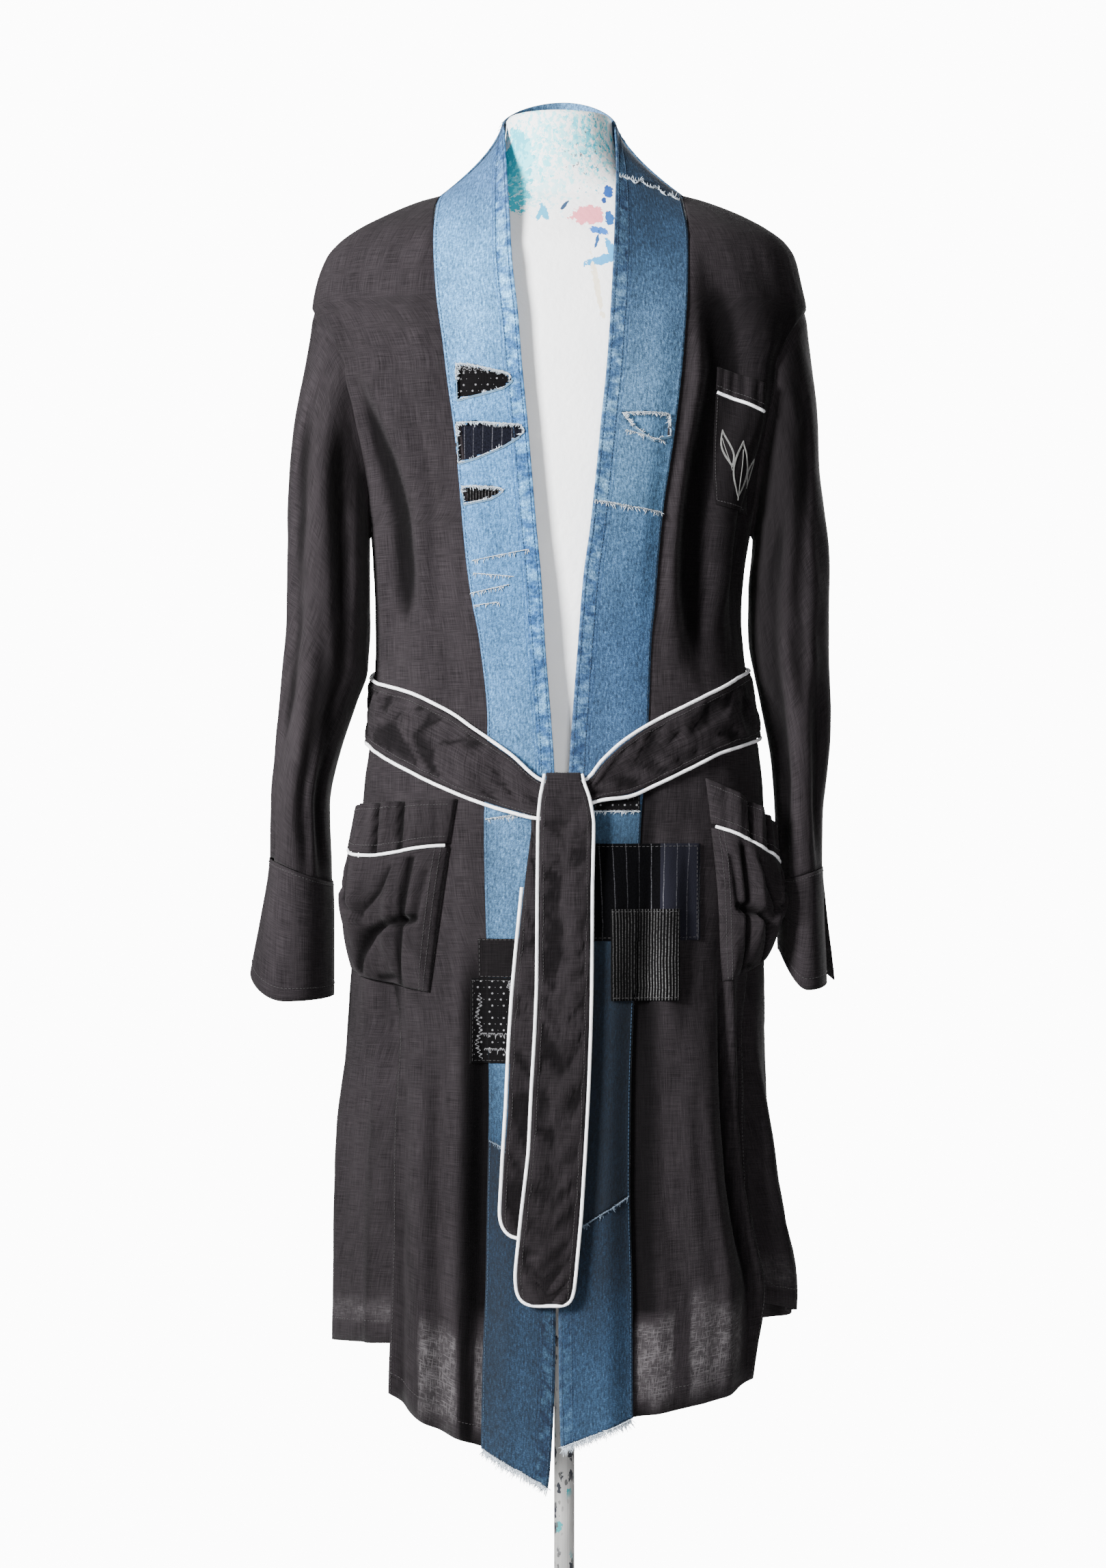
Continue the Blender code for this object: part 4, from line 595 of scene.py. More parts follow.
def side_angle(side, height):
    """Outer boundary of a front: shoulder ridge, armhole, side seam, vent edge."""
    if height >= SHOULDER_TIP:
        return 90.0
    return armhole_angle(height) if height >= UNDERARM else side_seam[side](height)


def between(rows, down):
    """The two rows at a share of the way down, and the part of the way from one to the other."""
    place = down * (len(rows) - 1)
    index = min(int(place), len(rows) - 2)
    return rows[index], rows[index + 1], place - index


def hem_height(height, lowest):
    """Height of a row after the rows near the hem are spread down to it."""
    share = (HEM_TILT_TOP - height) / (HEM_TILT_TOP - BODY_ROWS[-1])
    return blend(HEM_TILT_TOP, lowest, share) if share > 0.0 else height


def form_sections():
    """Rings of the dress form from the bottom up: height, right, left, front, back, power, shift."""
    sections = [(height, half, half, front, back, 2.15, 0.0) for height, half, front, back in FORM]
    for height in FORM_SHOULDER_ROWS:
        right, left, front, back, _ = ring_at(height + FORM_DROP)
        sections.append((height, right - FORM_INSET, left - FORM_INSET, front - 0.008, back - 0.006, 2.0, 0.0))
    for height, half, front, back in FORM_NECK:
        sections.append((height, half, half, front, back, 2.0, NECK_SHIFT * ease(height, 1.530, 1.580)))
    return sections


def seam_gap(height):
    """Half the gap at the lapel seam, wider near the shoulder, where the seam runs along the ring."""
    return SEAM_GAP * 0.6 * (1.0 + 3.0 * ease(height, 1.480, 1.515))


def back_spot(across, down):
    """Row, height and hem height of a spot of the back, from the left side round to the right one."""
    row = blend(*between(BODY_ROWS, down))
    side = "right" if across > 0.5 else "left"
    lowest = blend(HEM["back"]["middle"], HEM["back"][side], abs(2.0 * across - 1.0) ** 1.5)
    return side, row, hem_height(row, lowest), lowest


def back_point(across, down):
    """Point of the back panel, lapped behind the fronts at the vents."""
    side, row, height, _ = back_spot(across, down)
    height += NECKLINE_RISE * waves(across * 180.0)[1] ** 2 * ease(row, SHOULDER_TIP, BODY_ROWS[0])
    edge = side_angle(side, height)
    if height >= UNDERARM:
        edge = 180.0 - edge if row < SHOULDER_TIP else 90.0
    lap = 6.0 * ease(height, VENT_TOP, VENT_TOP - 0.07)
    edge += gap_angle(edge, height, SEAM_GAP * 0.6) - lap
    angle = blend(edge, 180.0, 1.0 - abs(2.0 * across - 1.0))
    tuck = ease(height, VENT_TOP + 0.06, VENT_TOP) * ease(angle, edge + lap + 9.0, edge + lap + 1.0)
    return on_robe(360.0 - angle if side == "right" else angle, height, -VENT_TUCK * tuck)


ARMHOLE_CORNERS = [row for row in BODY_ROWS if UNDERARM <= row <= SHOULDER_TIP]
ARMHOLE_ROWS = ARMHOLE_CORNERS[:1]
for corner in ARMHOLE_CORNERS[1:]:
    ARMHOLE_ROWS += steps(ARMHOLE_ROWS[-1], corner, 4)[1:]
SLEEVE_AROUND = 2 * (len(ARMHOLE_ROWS) - 1)


def run_lengths(points):
    """Length of a line up to each of its points."""
    return list(itertools.accumulate(((b - a).length for a, b in zip(points, points[1:])), initial=0.0))


def armhole_loop(side):
    """Points of the armhole with the turn of each: 0 the tip, 90 front, 180 underarm."""
    loop = []
    for front in (True, False):
        angles = [armhole_angle(height) if front else 180.0 - armhole_angle(height) for height in ARMHOLE_ROWS]
        points = [shape_point(SIGN[side] * angle, height) for angle, height in zip(angles, ARMHOLE_ROWS)]
        lengths = run_lengths(points)
        turns = [180.0 * length / lengths[-1] for length in lengths]
        if front:
            loop += list(zip(turns, points))
        else:
            loop += [(360.0 - turn, point) for turn, point in reversed(list(zip(turns, points)))][1:]
    return loop


def sleeve_ring(side, turn, height, out=0.0):
    """Point of the hanging sleeve: turn 0 is its outer side, 90 its front, 180 its inner side."""
    outer, inner, half_depth, middle = (curve(height) for curve in SLEEVE_CURVES[side])
    wide, deep = waves(turn)
    reach = (abs(wide) ** 2.2 + abs(deep) ** 2.2) ** (-1.0 / 2.2)
    x = (outer + inner) / 2.0 + ((outer - inner) / 2.0 * reach + out) * wide
    return Vector((SIGN[side] * x, middle - (half_depth * reach + out) * deep, height))


SLEEVE_CURVES = {side: column_curves(SLEEVE[side]) for side in SIDES}
ARMHOLE_LOOPS = {side: armhole_loop(side) for side in SIDES}


def sleeve_relief(side, turn, height):
    """How far a sleeve's folds lift or sink its cloth."""
    x, y = waves(turn)
    total = fold_sum(SLEEVE_FOLDS[side], turn, height, 0.08, 0.06)
    total += 0.0022 * noise.noise(Vector((x * 1.4, y * 1.4, height * 9.0)))
    return total + 0.0010 * noise.noise(Vector((x * 3.4 + 5.0, y * 3.4, height * 26.0)))


def sleeve_point(side, station, down):
    """Point of a sleeve below a corner of its armhole, from the armhole down to the cuff seam."""
    turn, start = ARMHOLE_LOOPS[side][station]
    wide = waves(turn)[0]
    outwards, inwards = max(0.0, wide), max(0.0, -wide)
    aside = (1.2 + inwards) * MM * (1.0 - outwards ** 2)
    start = start + Vector((SIGN[side] * aside, 0.0, -0.9 * MM * wide * wide))
    # The head of the sleeve runs a little way under the body's panels
    under = ease(down, 0.025, 0.0)
    start = start + Vector((-SIGN[side] * 0.0042 * under * (1.0 - 0.6 * outwards), -0.02 * start.y * under,
                            -0.0005 * under))
    length = start.z - blend(*SLEEVE_SEAM[side], (1.0 - wide) / 2.0)
    bent = down * down * (3.0 - 2.0 * down)
    height = start.z - length * blend(blend(down, bent, 0.5), down, wide * wide)
    share = 1.0 - (1.0 - min(1.0, down * length / SLEEVE_BLEND)) ** 2
    target = sleeve_ring(side, turn, height, sleeve_relief(side, turn, height))
    return Vector((blend(start.x, target.x, share), blend(start.y, target.y, share), height))


def cuff_point(side, across, down):
    """Point of a cuff, split at its outer side."""
    opening = CUFF_SLIT[side] * down + 0.4
    turn = blend(opening, 360.0 - opening * 0.4, across)
    wide, deep = waves(turn)
    top = blend(*SLEEVE_SEAM[side], (1.0 - wide) / 2.0) - 0.7 * MM
    outer, front, inner, back = CUFF_HEM[side]
    lowest = wide * wide * (outer if wide > 0.0 else inner) + deep * deep * (front if deep > 0.0 else back)
    flare = CUFF_FLARE[side] * down * ease(turn, 290.0, 350.0)
    return sleeve_ring(side, turn, blend(top, lowest, down), flare)


def band_dip(side, angle, height):
    """How far a band bends in towards its seam."""
    past_seam = abs(angle) - abs(angle_at(lapel_x(side, height), height))
    return 0.7 * seam_dip[side](height) * ease(past_seam, -7.0, 0.0)


def bowed(start, middle, end, part):
    return start * (1.0 - part) ** 2 + middle * 2.0 * part * (1.0 - part) + end * part ** 2


def band_point(side, seam_height, part, out=BAND_OUT):
    """Point of a lapel band: part 0 is its seam, 1 its free edge."""
    hem = HEM[side]
    lift = rise_height(seam_height) - seam_height if seam_height > BAND_RISE[0][0] else 0.0
    low_part = seam_height < HEM_TILT_TOP + 0.1
    drop = (hem["seam"] - hem["edge"]) * ease(seam_height, 0.72, hem["seam"]) if low_part else 0.0
    height = seam_height + (lift - drop) * part
    seam_angle = angle_at(lapel_x(side, seam_height), seam_height)
    seam_angle -= SIGN[side] * gap_angle(seam_angle, seam_height, seam_gap(seam_height))
    low = min(height, rise_height(min(seam_height, SHOULDER_POINT)))
    edge_angle = angle_at(free_edge[side](low), min(low, 1.50))
    flat_height = min(height, 1.50)
    angle = blend(seam_angle, edge_angle, part)
    on_chest = off_shape(angle, flat_height, out - band_dip(side, angle, flat_height))
    free = ease(seam_height, 1.385, 1.45)
    if free <= 0.0:
        return on_chest
    seam = off_shape(seam_angle, seam_height, out)
    edge_height = seam_height + lift
    edge = Vector((free_edge[side](edge_height), rise_depth(seam_height), edge_height))
    middle = (seam + edge) / 2.0 + Vector((-SIGN[side] * rise_bow(seam_height), 0.0, rise_lift(seam_height)))
    return on_chest.lerp(bowed(seam, middle, edge, part), free)


def neck_band_point(across, down):
    """Point of the band behind the neck, from the left shoulder round to the right one."""
    turn = blend(91.0, 269.0, across)
    swing, behind = waves(turn - 90.0)
    height = BODY_ROWS[0] + NECKLINE_RISE * behind ** 2
    climb = (shape_point(turn, height + MM) - shape_point(turn, height)).length / MM
    seam = on_robe(turn, height + 0.8 * MM / climb, BAND_OUT)
    edge = Vector(((0.0478 if swing > 0.0 else 0.0580) * swing, blend(-0.0115, 0.0630, behind),
                   blend(1.5975, COLLAR_TOP, behind ** 1.2)))
    bow = abs(swing) ** 1.5
    middle = (seam + edge) / 2.0 + Vector((-0.025 * bow * math.copysign(1.0, swing), 0.0, 0.006 * bow))
    return bowed(seam, middle, edge, 1.0 - down)


def hump(part):
    """0 at both ends and 1 half way, rising fast."""
    return max(0.0, math.sin(math.pi * min(1.0, part))) ** 0.65


def pocket_spot(data, part, upper, lower, down):
    """Height and sideways place of a pocket between two slanted lines, from its inner to its outer edge."""
    height = blend(blend(*data[upper], part), blend(*data[lower], part), down)
    share = (data["top"][0] - height) / (data["top"][0] - data["bottom"][0])
    return blend(blend(*data["inner"], share), blend(*data["outer"], share), part), height


def belt_point(angle, share, out=0.0):
    """Point of the belt: share 0 is its top edge, 1 its bottom edge, past them is beyond."""
    height = blend(belt_top(angle), belt_bottom(angle), share)
    over_band = BAND_OUT + DENIM_WALL / 2.0 + 3.0 * LAYER_GAP + PIPING_RADIUS
    return on_robe(angle, height, over_band + 0.0052 * (1.0 - ease(abs(angle), 7.0, 24.0)) + out)


def belt_edge(angle, share):
    """Point beside the belt's edge for its piping."""
    edge = belt_bottom if share else belt_top
    before, after = angle - 1.5, angle + 1.5
    run = (shape_point(after, edge(angle)) - shape_point(before, edge(angle))).length
    slope = (edge(after) - edge(before)) / run
    width = belt_top(angle) - belt_bottom(angle)
    beyond = (PIPING_RADIUS + 2.0 * LAYER_GAP) * math.sqrt(1.0 + slope * slope) / width
    return belt_point(angle, 1.0 + beyond if share else -beyond)


def tail_path(front):
    """Path of a tail from its hidden top to its lower end: out from the robe, height, width row."""
    if not front:
        return [(blend(0.0030, 0.0056, ease(row, 0.93, 0.88)), row, row) for row in TAIL_REAR_ROWS]
    inner, outer = FOLD_OUT
    radius = (outer - inner) / 2.0
    path = [(inner, FOLD_BACK_END, FOLD_CENTRE), (inner, (FOLD_BACK_END + FOLD_CENTRE) / 2.0, FOLD_CENTRE)]
    for turn in steps(0.0, 180.0, 6):
        level, rise = waves(turn)
        path.append((inner + radius * (1.0 - level), FOLD_CENTRE + radius * rise, FOLD_CENTRE))
    return path + [(blend(outer, TAIL_FRONT_OUT, ease(row, 0.945, 0.87)), row, row) for row in TAIL_FRONT_ROWS]


def tail_point(edges, spot, across):
    """Point of a tail at a spot of its path; the edges give X at a height."""
    out, height, width_row = spot
    x = blend(edges[0](width_row), edges[1](width_row), across)
    return shape_point(angle_at(x, height), height) + Vector((0.0, -out, 0.0))


def beside(line, distance):
    """A line moved sideways in the plane that faces the front, to its left as seen walking along it."""
    moved = []
    for before, point, after in zip(line[:1] + line, line, line[1:] + line[-1:]):
        along = (after - before).normalized()
        moved.append(point + Vector((along.z, 0.0, -along.x)) * distance)
    return moved


class Nodes:
    """Adds nodes to a shader tree; every step gives back the node's output."""

    def __init__(self, tree):
        self.tree = tree

    def add(self, kind, inputs=(), output=0, **settings):
        """A new node; inputs gives each socket a value or another node's output."""
        node = self.tree.nodes.new("ShaderNode" + kind)
        for key, value in settings.items():
            setattr(node, key, value)
        for key, value in dict(inputs).items():
            if isinstance(value, bpy.types.NodeSocket):
                self.tree.links.new(value, node.inputs[key])
            else:
                node.inputs[key].default_value = value
        return node.outputs[output]

    def value(self, operation, first, second=0.0, clamp=False):
        return self.add("Math", {0: first, 1: second}, operation=operation, use_clamp=clamp)

    def times(self, first, second, clamp=False):
        return self.value("MULTIPLY", first, second, clamp)

    def plus(self, first, second):
        return self.value("ADD", first, second)

    def under(self, first, second):
        return self.value("LESS_THAN", first, second)

    def off(self, value, line=0.0):
        return self.value("ABSOLUTE", self.value("SUBTRACT", value, line))

    def part(self, axis, place):
        return self.add("SeparateXYZ", {0: place}, axis)

    def coordinate(self, kind="Object"):
        return self.add("TexCoord", (), kind)

    def ramp(self, factor, *stops):
        """Colour by a factor; stops are (place, colour) in order."""
        colour = self.add("ValToRGB", {"Fac": factor})
        elements = colour.node.color_ramp.elements
        for element, (place, tint) in zip((elements[0], elements[1]), (stops[0], stops[-1])):
            element.position, element.color = place, (*tint, 1.0)
        for place, tint in stops[1:-1]:
            elements.new(place).color = (*tint, 1.0)
        return colour

    def grey(self, factor, low, high, start=0.0, end=1.0):
        return self.ramp(factor, (low, (start,) * 3), (high, (end,) * 3))

    def mixed(self, factor, first, second, way="MIX"):
        """Two colours mixed, multiplied or added by a factor."""
        first, second = ((*tint, 1.0) if isinstance(tint, tuple) else tint for tint in (first, second))
        return self.add("MixRGB", {"Fac": factor, "Color1": first, "Color2": second}, blend_type=way)

    def shaded(self, colour, shade, factor=1.0):
        return self.mixed(factor, colour, shade, "MULTIPLY")

    def grain(self, place, scale, detail=2.0, rough=0.5):
        """Noise with its own scale along each axis of a place."""
        spread = self.add("Mapping", {"Vector": place, "Scale": scale})
        return self.add("TexNoise", {"Vector": spread, "Scale": 1.0, "Detail": detail, "Roughness": rough})


class Look(Nodes):
    """A material and its nodes."""

    def __init__(self, name, roughness, sheen=0.0, specular=0.3, metallic=0.0):
        self.material = bpy.data.materials.new(name)
        self.material.use_nodes = True
        super().__init__(self.material.node_tree)
        self.inputs = self.tree.nodes["Principled BSDF"].inputs
        values = {"Roughness": roughness, "Metallic": metallic, "Specular IOR Level": specular}
        if sheen:
            values |= {"Sheen Weight": sheen, "Sheen Roughness": 0.4}
        for key, value in values.items():
            self.inputs[key].default_value = value

    def use_cloth(self):
        """The piece's own surface in metres: X across it, Y down it."""
        self.cloth = self.add("UVMap", uv_map="cloth")
        return self.part("X", self.cloth)

    def weave(self, across, down, detail=2.0, rough=0.5):
        return self.grain(self.cloth, (across, down, 1.0), detail, rough)

    def finish(self, colour, height, distance):
        bump = self.add("Bump", {"Height": height, "Distance": distance, "Strength": 1.0})
        self.tree.links.new(colour, self.inputs["Base Color"])
        self.tree.links.new(bump, self.inputs["Normal"])
        return self.material


def linen_material(name, dark, pale, crumple=1.0):
    """Loosely woven linen: slubs both ways and a soft pressed crumple, with painted light by the thin hems,
    painted shade in fold bottoms and painted shade that darkens it towards the bottom.
    """
    look = Look(name, 0.9, 0.03, 0.04)
    look.use_cloth()
    slubs = look.times(look.plus(look.weave(50.0, 1500.0, 3.0), look.weave(1500.0, 40.0, 3.0)), 0.5)
    tone = look.plus(look.times(slubs, 0.75), look.times(look.weave(22.0, 7.0, 4.0, 0.6), 0.25))
    colour = look.ramp(tone, (0.38, dark), (0.62, pale))
    # Painted shade: the linen darkens towards the bottom, to 0.72 at 0.62 m and below.
    level = look.part("Z", look.coordinate())
    colour = look.shaded(colour, look.grey(level, 0.62, 1.05, 0.72, 1.0))
    # Painted light and shade from the attribute: below 0 painted shade darkens the linen to near black, above
    # 0 painted light lightens the open weave as if the light behind shone through.
    thin = look.add("Attribute", (), "Fac", attribute_name="painted_light_and_shade")
    deep = look.times(look.times(thin, -1.0, True), 0.85)
    colour = look.mixed(deep, colour, (0.0006, 0.0005, 0.0006))
    gauze = look.value("MAXIMUM", look.weave(120.0, 760.0), look.weave(760.0, 120.0))
    open_weave = look.plus(gauze, look.times(look.weave(60.0, 60.0, 3.0, 0.6), 0.45))
    light = look.times(thin, look.grey(open_weave, 0.7, 0.98, 0.16, 1.0), True)
    colour = look.mixed(light, colour, (0.068, 0.063, 0.066))
    ribs = [look.add("TexWave", {"Vector": look.cloth, "Scale": 0.314 / 0.0011, "Distortion": 1.5}, "Fac",
                     bands_direction=axis) for axis in "XY"]
    height = look.plus(look.times(look.plus(*ribs), 0.08), look.times(look.weave(60.0, 32.0, 3.0), crumple))
    return look.finish(colour, look.plus(height, look.times(slubs, 0.4)), 0.0013)


def denim_material(name, stops, contrast=1.0, roping=1.0, seam_side_shade=1.0, seam_from=0.032):
    """Twill denim: colour by height, streaked warp, white flecks, a roped free edge and painted shade on its
    seam side.
    """
    look = Look(name, 0.85, 0.05, 0.2)
    from_edge = look.use_cloth()
    low, high = stops[0][0], stops[-1][0]
    level = look.part("Z", look.coordinate())
    share = look.add("MapRange", {"Value": level, "From Min": low, "From Max": high})
    colour = look.ramp(share, *(((key - low) / (high - low), tint) for key, tint in stops))
    streaks = look.weave(640.0, 130.0, 3.0, 0.7)
    mottle = look.weave(420.0, 300.0, 2.0, 0.6)
    slanted = look.add("Mapping", {"Vector": look.cloth, "Rotation": (0.0, 0.0, 1.05)})
    flecks = look.grain(slanted, (1300.0, 420.0, 1.0), 2.0, 0.7)
    colour = look.shaded(colour, look.grey(streaks, 0.36, 0.66, 0.6, 1.55), contrast)
    colour = look.shaded(colour, look.ramp(
        flecks, (0.34, (0.5, 0.55, 0.62)), (0.52, (0.95, 0.96, 0.98)), (0.68, (1.9, 1.75, 1.6))), contrast)
    colour = look.shaded(colour, look.grey(look.weave(34.0, 16.0, 4.0, 0.6), 0.32, 0.68, 0.72, 1.3), 0.8)
    colour = look.shaded(colour, look.grey(mottle, 0.34, 0.66, 0.7, 1.34), contrast)
    ropes = look.weave(60.0, 120.0, 3.0, 0.55)
    strip = look.times(look.under(from_edge, 0.014), roping)
    colour = look.shaded(colour, look.ramp(
        ropes, (0.4, (0.42, 0.5, 0.62)), (0.5, (0.95, 0.97, 1.0)), (0.6, (1.9, 1.75, 1.55))), strip)
    for line, width in ((0.003, 0.0007), (0.014, 0.0009), (0.017, 0.0006)):
        groove = look.times(look.under(look.off(from_edge, line), width), 0.5 * roping)
        colour = look.shaded(colour, (0.35, 0.42, 0.55), groove)
    colour = look.shaded(colour, look.grey(look.times(from_edge, 100.0), 0.05, 0.16, 1.25, 1.0))
    # Painted shade: the band darkens towards its seam, from seam_from off its free edge.
    start = seam_from * 10.0
    colour = look.shaded(colour, look.grey(look.times(from_edge, 10.0), start, start + 0.2, 1.0, seam_side_shade))
    height = look.plus(look.times(flecks, 0.35), look.times(streaks, 0.5))
    return look.finish(colour, look.plus(height, look.times(look.times(ropes, strip), 1.2)), 0.001)


def toned(tint, share):
    return tuple(min(1.0, share * part) for part in tint)


def striped_material(name, ground, line, period, width, waver, second=None, second_from=0.0):
    """Woven stripes running down a patch, broken here and there, with a second ground beyond a line and a
    painted shadow dimming the stripes on one half.
    """
    look = Look(name, 0.9, 0.02, 0.03)
    across = look.use_cloth()
    shifted = look.plus(across, look.times(look.weave(8.0, 30.0), waver))
    part = look.value("FRACT", look.value("DIVIDE", shifted, period))
    stripe = look.under(look.off(part, 0.5), width / period / 2.0)
    broken = look.grey(look.weave(300.0, 700.0), 0.35, 0.6, 0.25, 1.0)
    colour = look.ramp(look.weave(700.0, 500.0, 3.0), (0.35, toned(ground, 0.6)), (0.65, toned(ground, 1.5)))
    if second:
        colour = look.mixed(look.value("GREATER_THAN", across, second_from), colour, second)
    uneven = look.grey(look.weave(20.0, 12.0), 0.35, 0.65, 0.35, 1.0)
    # Painted shadow: the stripes dimmed to 0.45 on the half of the patch towards the wearer's right.
    shadowed_half = look.grey(look.plus(across, 0.5), 0.495, 0.503, 0.45, 1.0)
    strength = look.times(look.times(look.times(stripe, broken), uneven), shadowed_half)
    return look.finish(
        look.mixed(strength, colour, line), look.plus(stripe, look.weave(700.0, 700.0, 3.0)), 0.0004)


def even_material(name, look_values, dark, pale, scale, detail, relief, relief_detail, depth,
                  stops=(0.35, 0.65), painted=None):
    """One colour with soft clouds and a fine grain, and paint over it where painted adds some."""
    look = Look(name, *look_values)
    spot = look.coordinate()
    colour = look.ramp(look.grain(spot, scale, detail), (stops[0], dark), (stops[1], pale))
    if painted:
        colour = painted(look, spot, colour)
    return look.finish(colour, look.grain(spot, relief, relief_detail), depth)


def thread_material(name, tint):
    return even_material(name, (0.8, 0.1, 0.3), toned(tint, 0.75), toned(tint, 1.12), (350.0,) * 3, 2.0,
                         (2500.0,) * 3, 1.0, 0.0003, (0.3, 0.7))


def form_paint(look, spot, colour):
    """Sponged and spattered paint."""
    for centre_x, centre_z, half_wide, half_high, slant, tint, scale, cover in FORM_STAINS:
        moved = look.add("VectorMath", {0: spot, 1: (centre_x, 0.0, centre_z)}, operation="SUBTRACT")
        turned = {"Vector": moved, "Angle": math.radians(slant)}
        moved = look.add("VectorRotate", turned, rotation_type="Y_AXIS")
        moved = look.add("Mapping", {"Vector": moved, "Scale": (1.0 / half_wide, 6.0, 1.0 / half_high)})
        away = look.add("VectorMath", {0: moved}, "Value", operation="LENGTH")
        inwards = look.times(look.value("SUBTRACT", 1.0, away), 0.16 if half_wide > 0.02 else 0.5)
        mask = look.plus(look.grain(spot, (scale, scale, scale * 0.8), 4.0, 0.65), inwards)
        covered = look.times(look.grey(mask, 0.86 - cover, 0.885 - cover), look.under(away, 1.9))
        colour = look.mixed(covered, colour, tint)
    return colour


def pole_paint(look, spot, colour):
    """Drops of dark and teal paint."""
    for scale, size, tint in (
            (95.0, 0.3, (0.02, 0.022, 0.03)), (60.0, 0.2, (0.03, 0.22, 0.24)), (170.0, 0.26, (0.08,) * 3)):
        longer = look.add("Mapping", {"Vector": spot, "Scale": (scale, scale, scale * 0.55)})
        drops = look.add("TexVoronoi", {"Vector": longer, "Scale": 1.0}, "Distance")
        some = look.grey(look.grain(spot, (32.0, 32.0, 26.0)), 0.4, 0.48)
        drops = look.plus(drops, look.times(look.grain(spot, (420.0, 420.0, 300.0)), 0.5))
        colour = look.mixed(look.times(look.under(drops, size + 0.25), some), colour, tint)
    return colour


BLACK_LINEN = linen_material("black_linen", (0.0068, 0.0058, 0.0065), (0.0262, 0.0224, 0.0248))
# Painted shade: the belt's and the pockets' linen are darker copies of the black linen.
SHADED_BELT_LINEN = linen_material("shaded_black_belt_linen", (0.006, 0.0051, 0.0057), (0.023, 0.0197, 0.0218), 2.4)
SHADED_POCKET_LINEN = linen_material("shaded_black_pocket_linen", (0.0062, 0.0053, 0.0059), (0.024, 0.0205, 0.0227), 1.4)
DENIM = {
    "band_right_chest": denim_material("worn_denim_right", (
        (0.93, (0.044, 0.104, 0.186)), (1.15, (0.04, 0.12, 0.245)), (1.3, (0.046, 0.14, 0.285)),
        (1.4, (0.0722, 0.1968, 0.3646)), (1.47, (0.0704, 0.192, 0.3577)), (1.53, (0.046, 0.112, 0.225)),
        (1.6, (0.036, 0.096, 0.2)))),
    "band_right_skirt": denim_material("worn_denim_right_skirt", (
        (0.64, (0.0085, 0.0255, 0.051)), (0.78, (0.0258, 0.0644, 0.1178)),
        (0.93, (0.0399, 0.0931, 0.1691))), 1.0, 1.0, 0.62, 0.046),
    "band_right_hem": denim_material("dark_denim_right_hem", (
        (0.33, (0.0072, 0.0195, 0.039)), (0.48, (0.0049, 0.0135, 0.0274)), (0.55, (0.0032, 0.0092, 0.0198)),
        (0.64, (0.0028, 0.008, 0.0172))), 1.0, 1.0, 0.62),
    "band_left_chest": denim_material("worn_denim_left_chest", (
        (1.22, (0.0396, 0.0929, 0.1617)), (1.34, (0.0487, 0.1075, 0.1848)), (1.4, (0.032, 0.0704, 0.1264)),
        (1.47, (0.0115, 0.028, 0.0546)), (1.53, (0.0102, 0.0252, 0.0496)), (1.6, (0.0255, 0.0629, 0.1156)))),
    "band_left_waist": denim_material("worn_denim_left_waist", (
        (0.95, (0.0213, 0.0492, 0.0968)), (1.1, (0.0216, 0.0528, 0.1072)), (1.22, (0.0336, 0.079, 0.1445)))),
    "band_left_skirt": denim_material("dark_denim_left_skirt", (
        (0.59, (0.0019, 0.0049, 0.0099)), (0.8, (0.0021, 0.0052, 0.0102)), (0.9, (0.0068, 0.0179, 0.0331)),
        (0.95, (0.019, 0.0446, 0.0798))), 0.7, 0.3),
    "band_left_hem": denim_material("dark_denim_left_hem", (
        (0.36, (0.0126, 0.0319, 0.0622)), (0.46, (0.008, 0.021, 0.0424)), (0.52, (0.0032, 0.0085, 0.0175)),
        (0.6, (0.0023, 0.0062, 0.013))), 0.9, 0.6),
    "band_neck": denim_material("worn_denim_neck", (
        (1.53, (0.022, 0.056, 0.11)), (1.64, (0.058, 0.128, 0.22))), 1.0, 0.0),
    "rip_denim_patch": denim_material("worn_denim_behind", (
        (1.2, (0.046, 0.108, 0.188)), (1.4, (0.046, 0.108, 0.188))), 1.0, 0.0),
}
PLAIN_BLACK = linen_material("plain_black_cotton", (0.0024, 0.0021, 0.0023), (0.0086, 0.0074, 0.0081), 0.6)
PRINTED_BLACK = linen_material("printed_black_cotton", (0.0014, 0.0013, 0.0015), (0.0048, 0.0045, 0.005), 0.5)
PINSTRIPE = striped_material(
    "navy_pinstripe", (0.0009, 0.0009, 0.0012), (0.095, 0.095, 0.105), 0.0122, 0.0008, 0.004,
    (0.0075, 0.0076, 0.0115), 0.0128)
DARK_PINSTRIPE = striped_material(
    "dark_navy_pinstripe", (0.0042, 0.0046, 0.0075), (0.15, 0.15, 0.17), 0.009, 0.0007, 0.003)
FINE_STRIPE = striped_material(
    "fine_striped_black", (0.0012, 0.0012, 0.0013), (0.105, 0.105, 0.105), 0.003, 0.001, 0.003)
WHITE_PIPING = even_material(
    "white_piping_cotton", (0.7, 0.1, 0.3), (0.66, 0.67, 0.7), (0.88, 0.88, 0.9), (90.0,) * 3, 3.0,
    (900.0,) * 3, 2.0, 0.0005, (0.3, 0.6))
FRAY_THREAD = thread_material("frayed_white_cotton", (0.5, 0.56, 0.62))
BLUE_FRAY = thread_material("frayed_blue_cotton", (0.11, 0.15, 0.2))
ROLLED_DENIM = thread_material("rolled_denim_edge", (0.09, 0.175, 0.27))
BLUE_THREAD = thread_material("blue_topstitch", (0.018, 0.044, 0.084))
BLACK_THREAD = thread_material("black_topstitch", (0.022, 0.02, 0.021))
GREY_THREAD = thread_material("grey_embroidery_thread", (0.15, 0.15, 0.145))
DIM_THREAD = thread_material("dim_grey_thread", (0.03, 0.029, 0.03))
PRINT_WHITE = thread_material("bandana_print_white", (0.2, 0.2, 0.21))

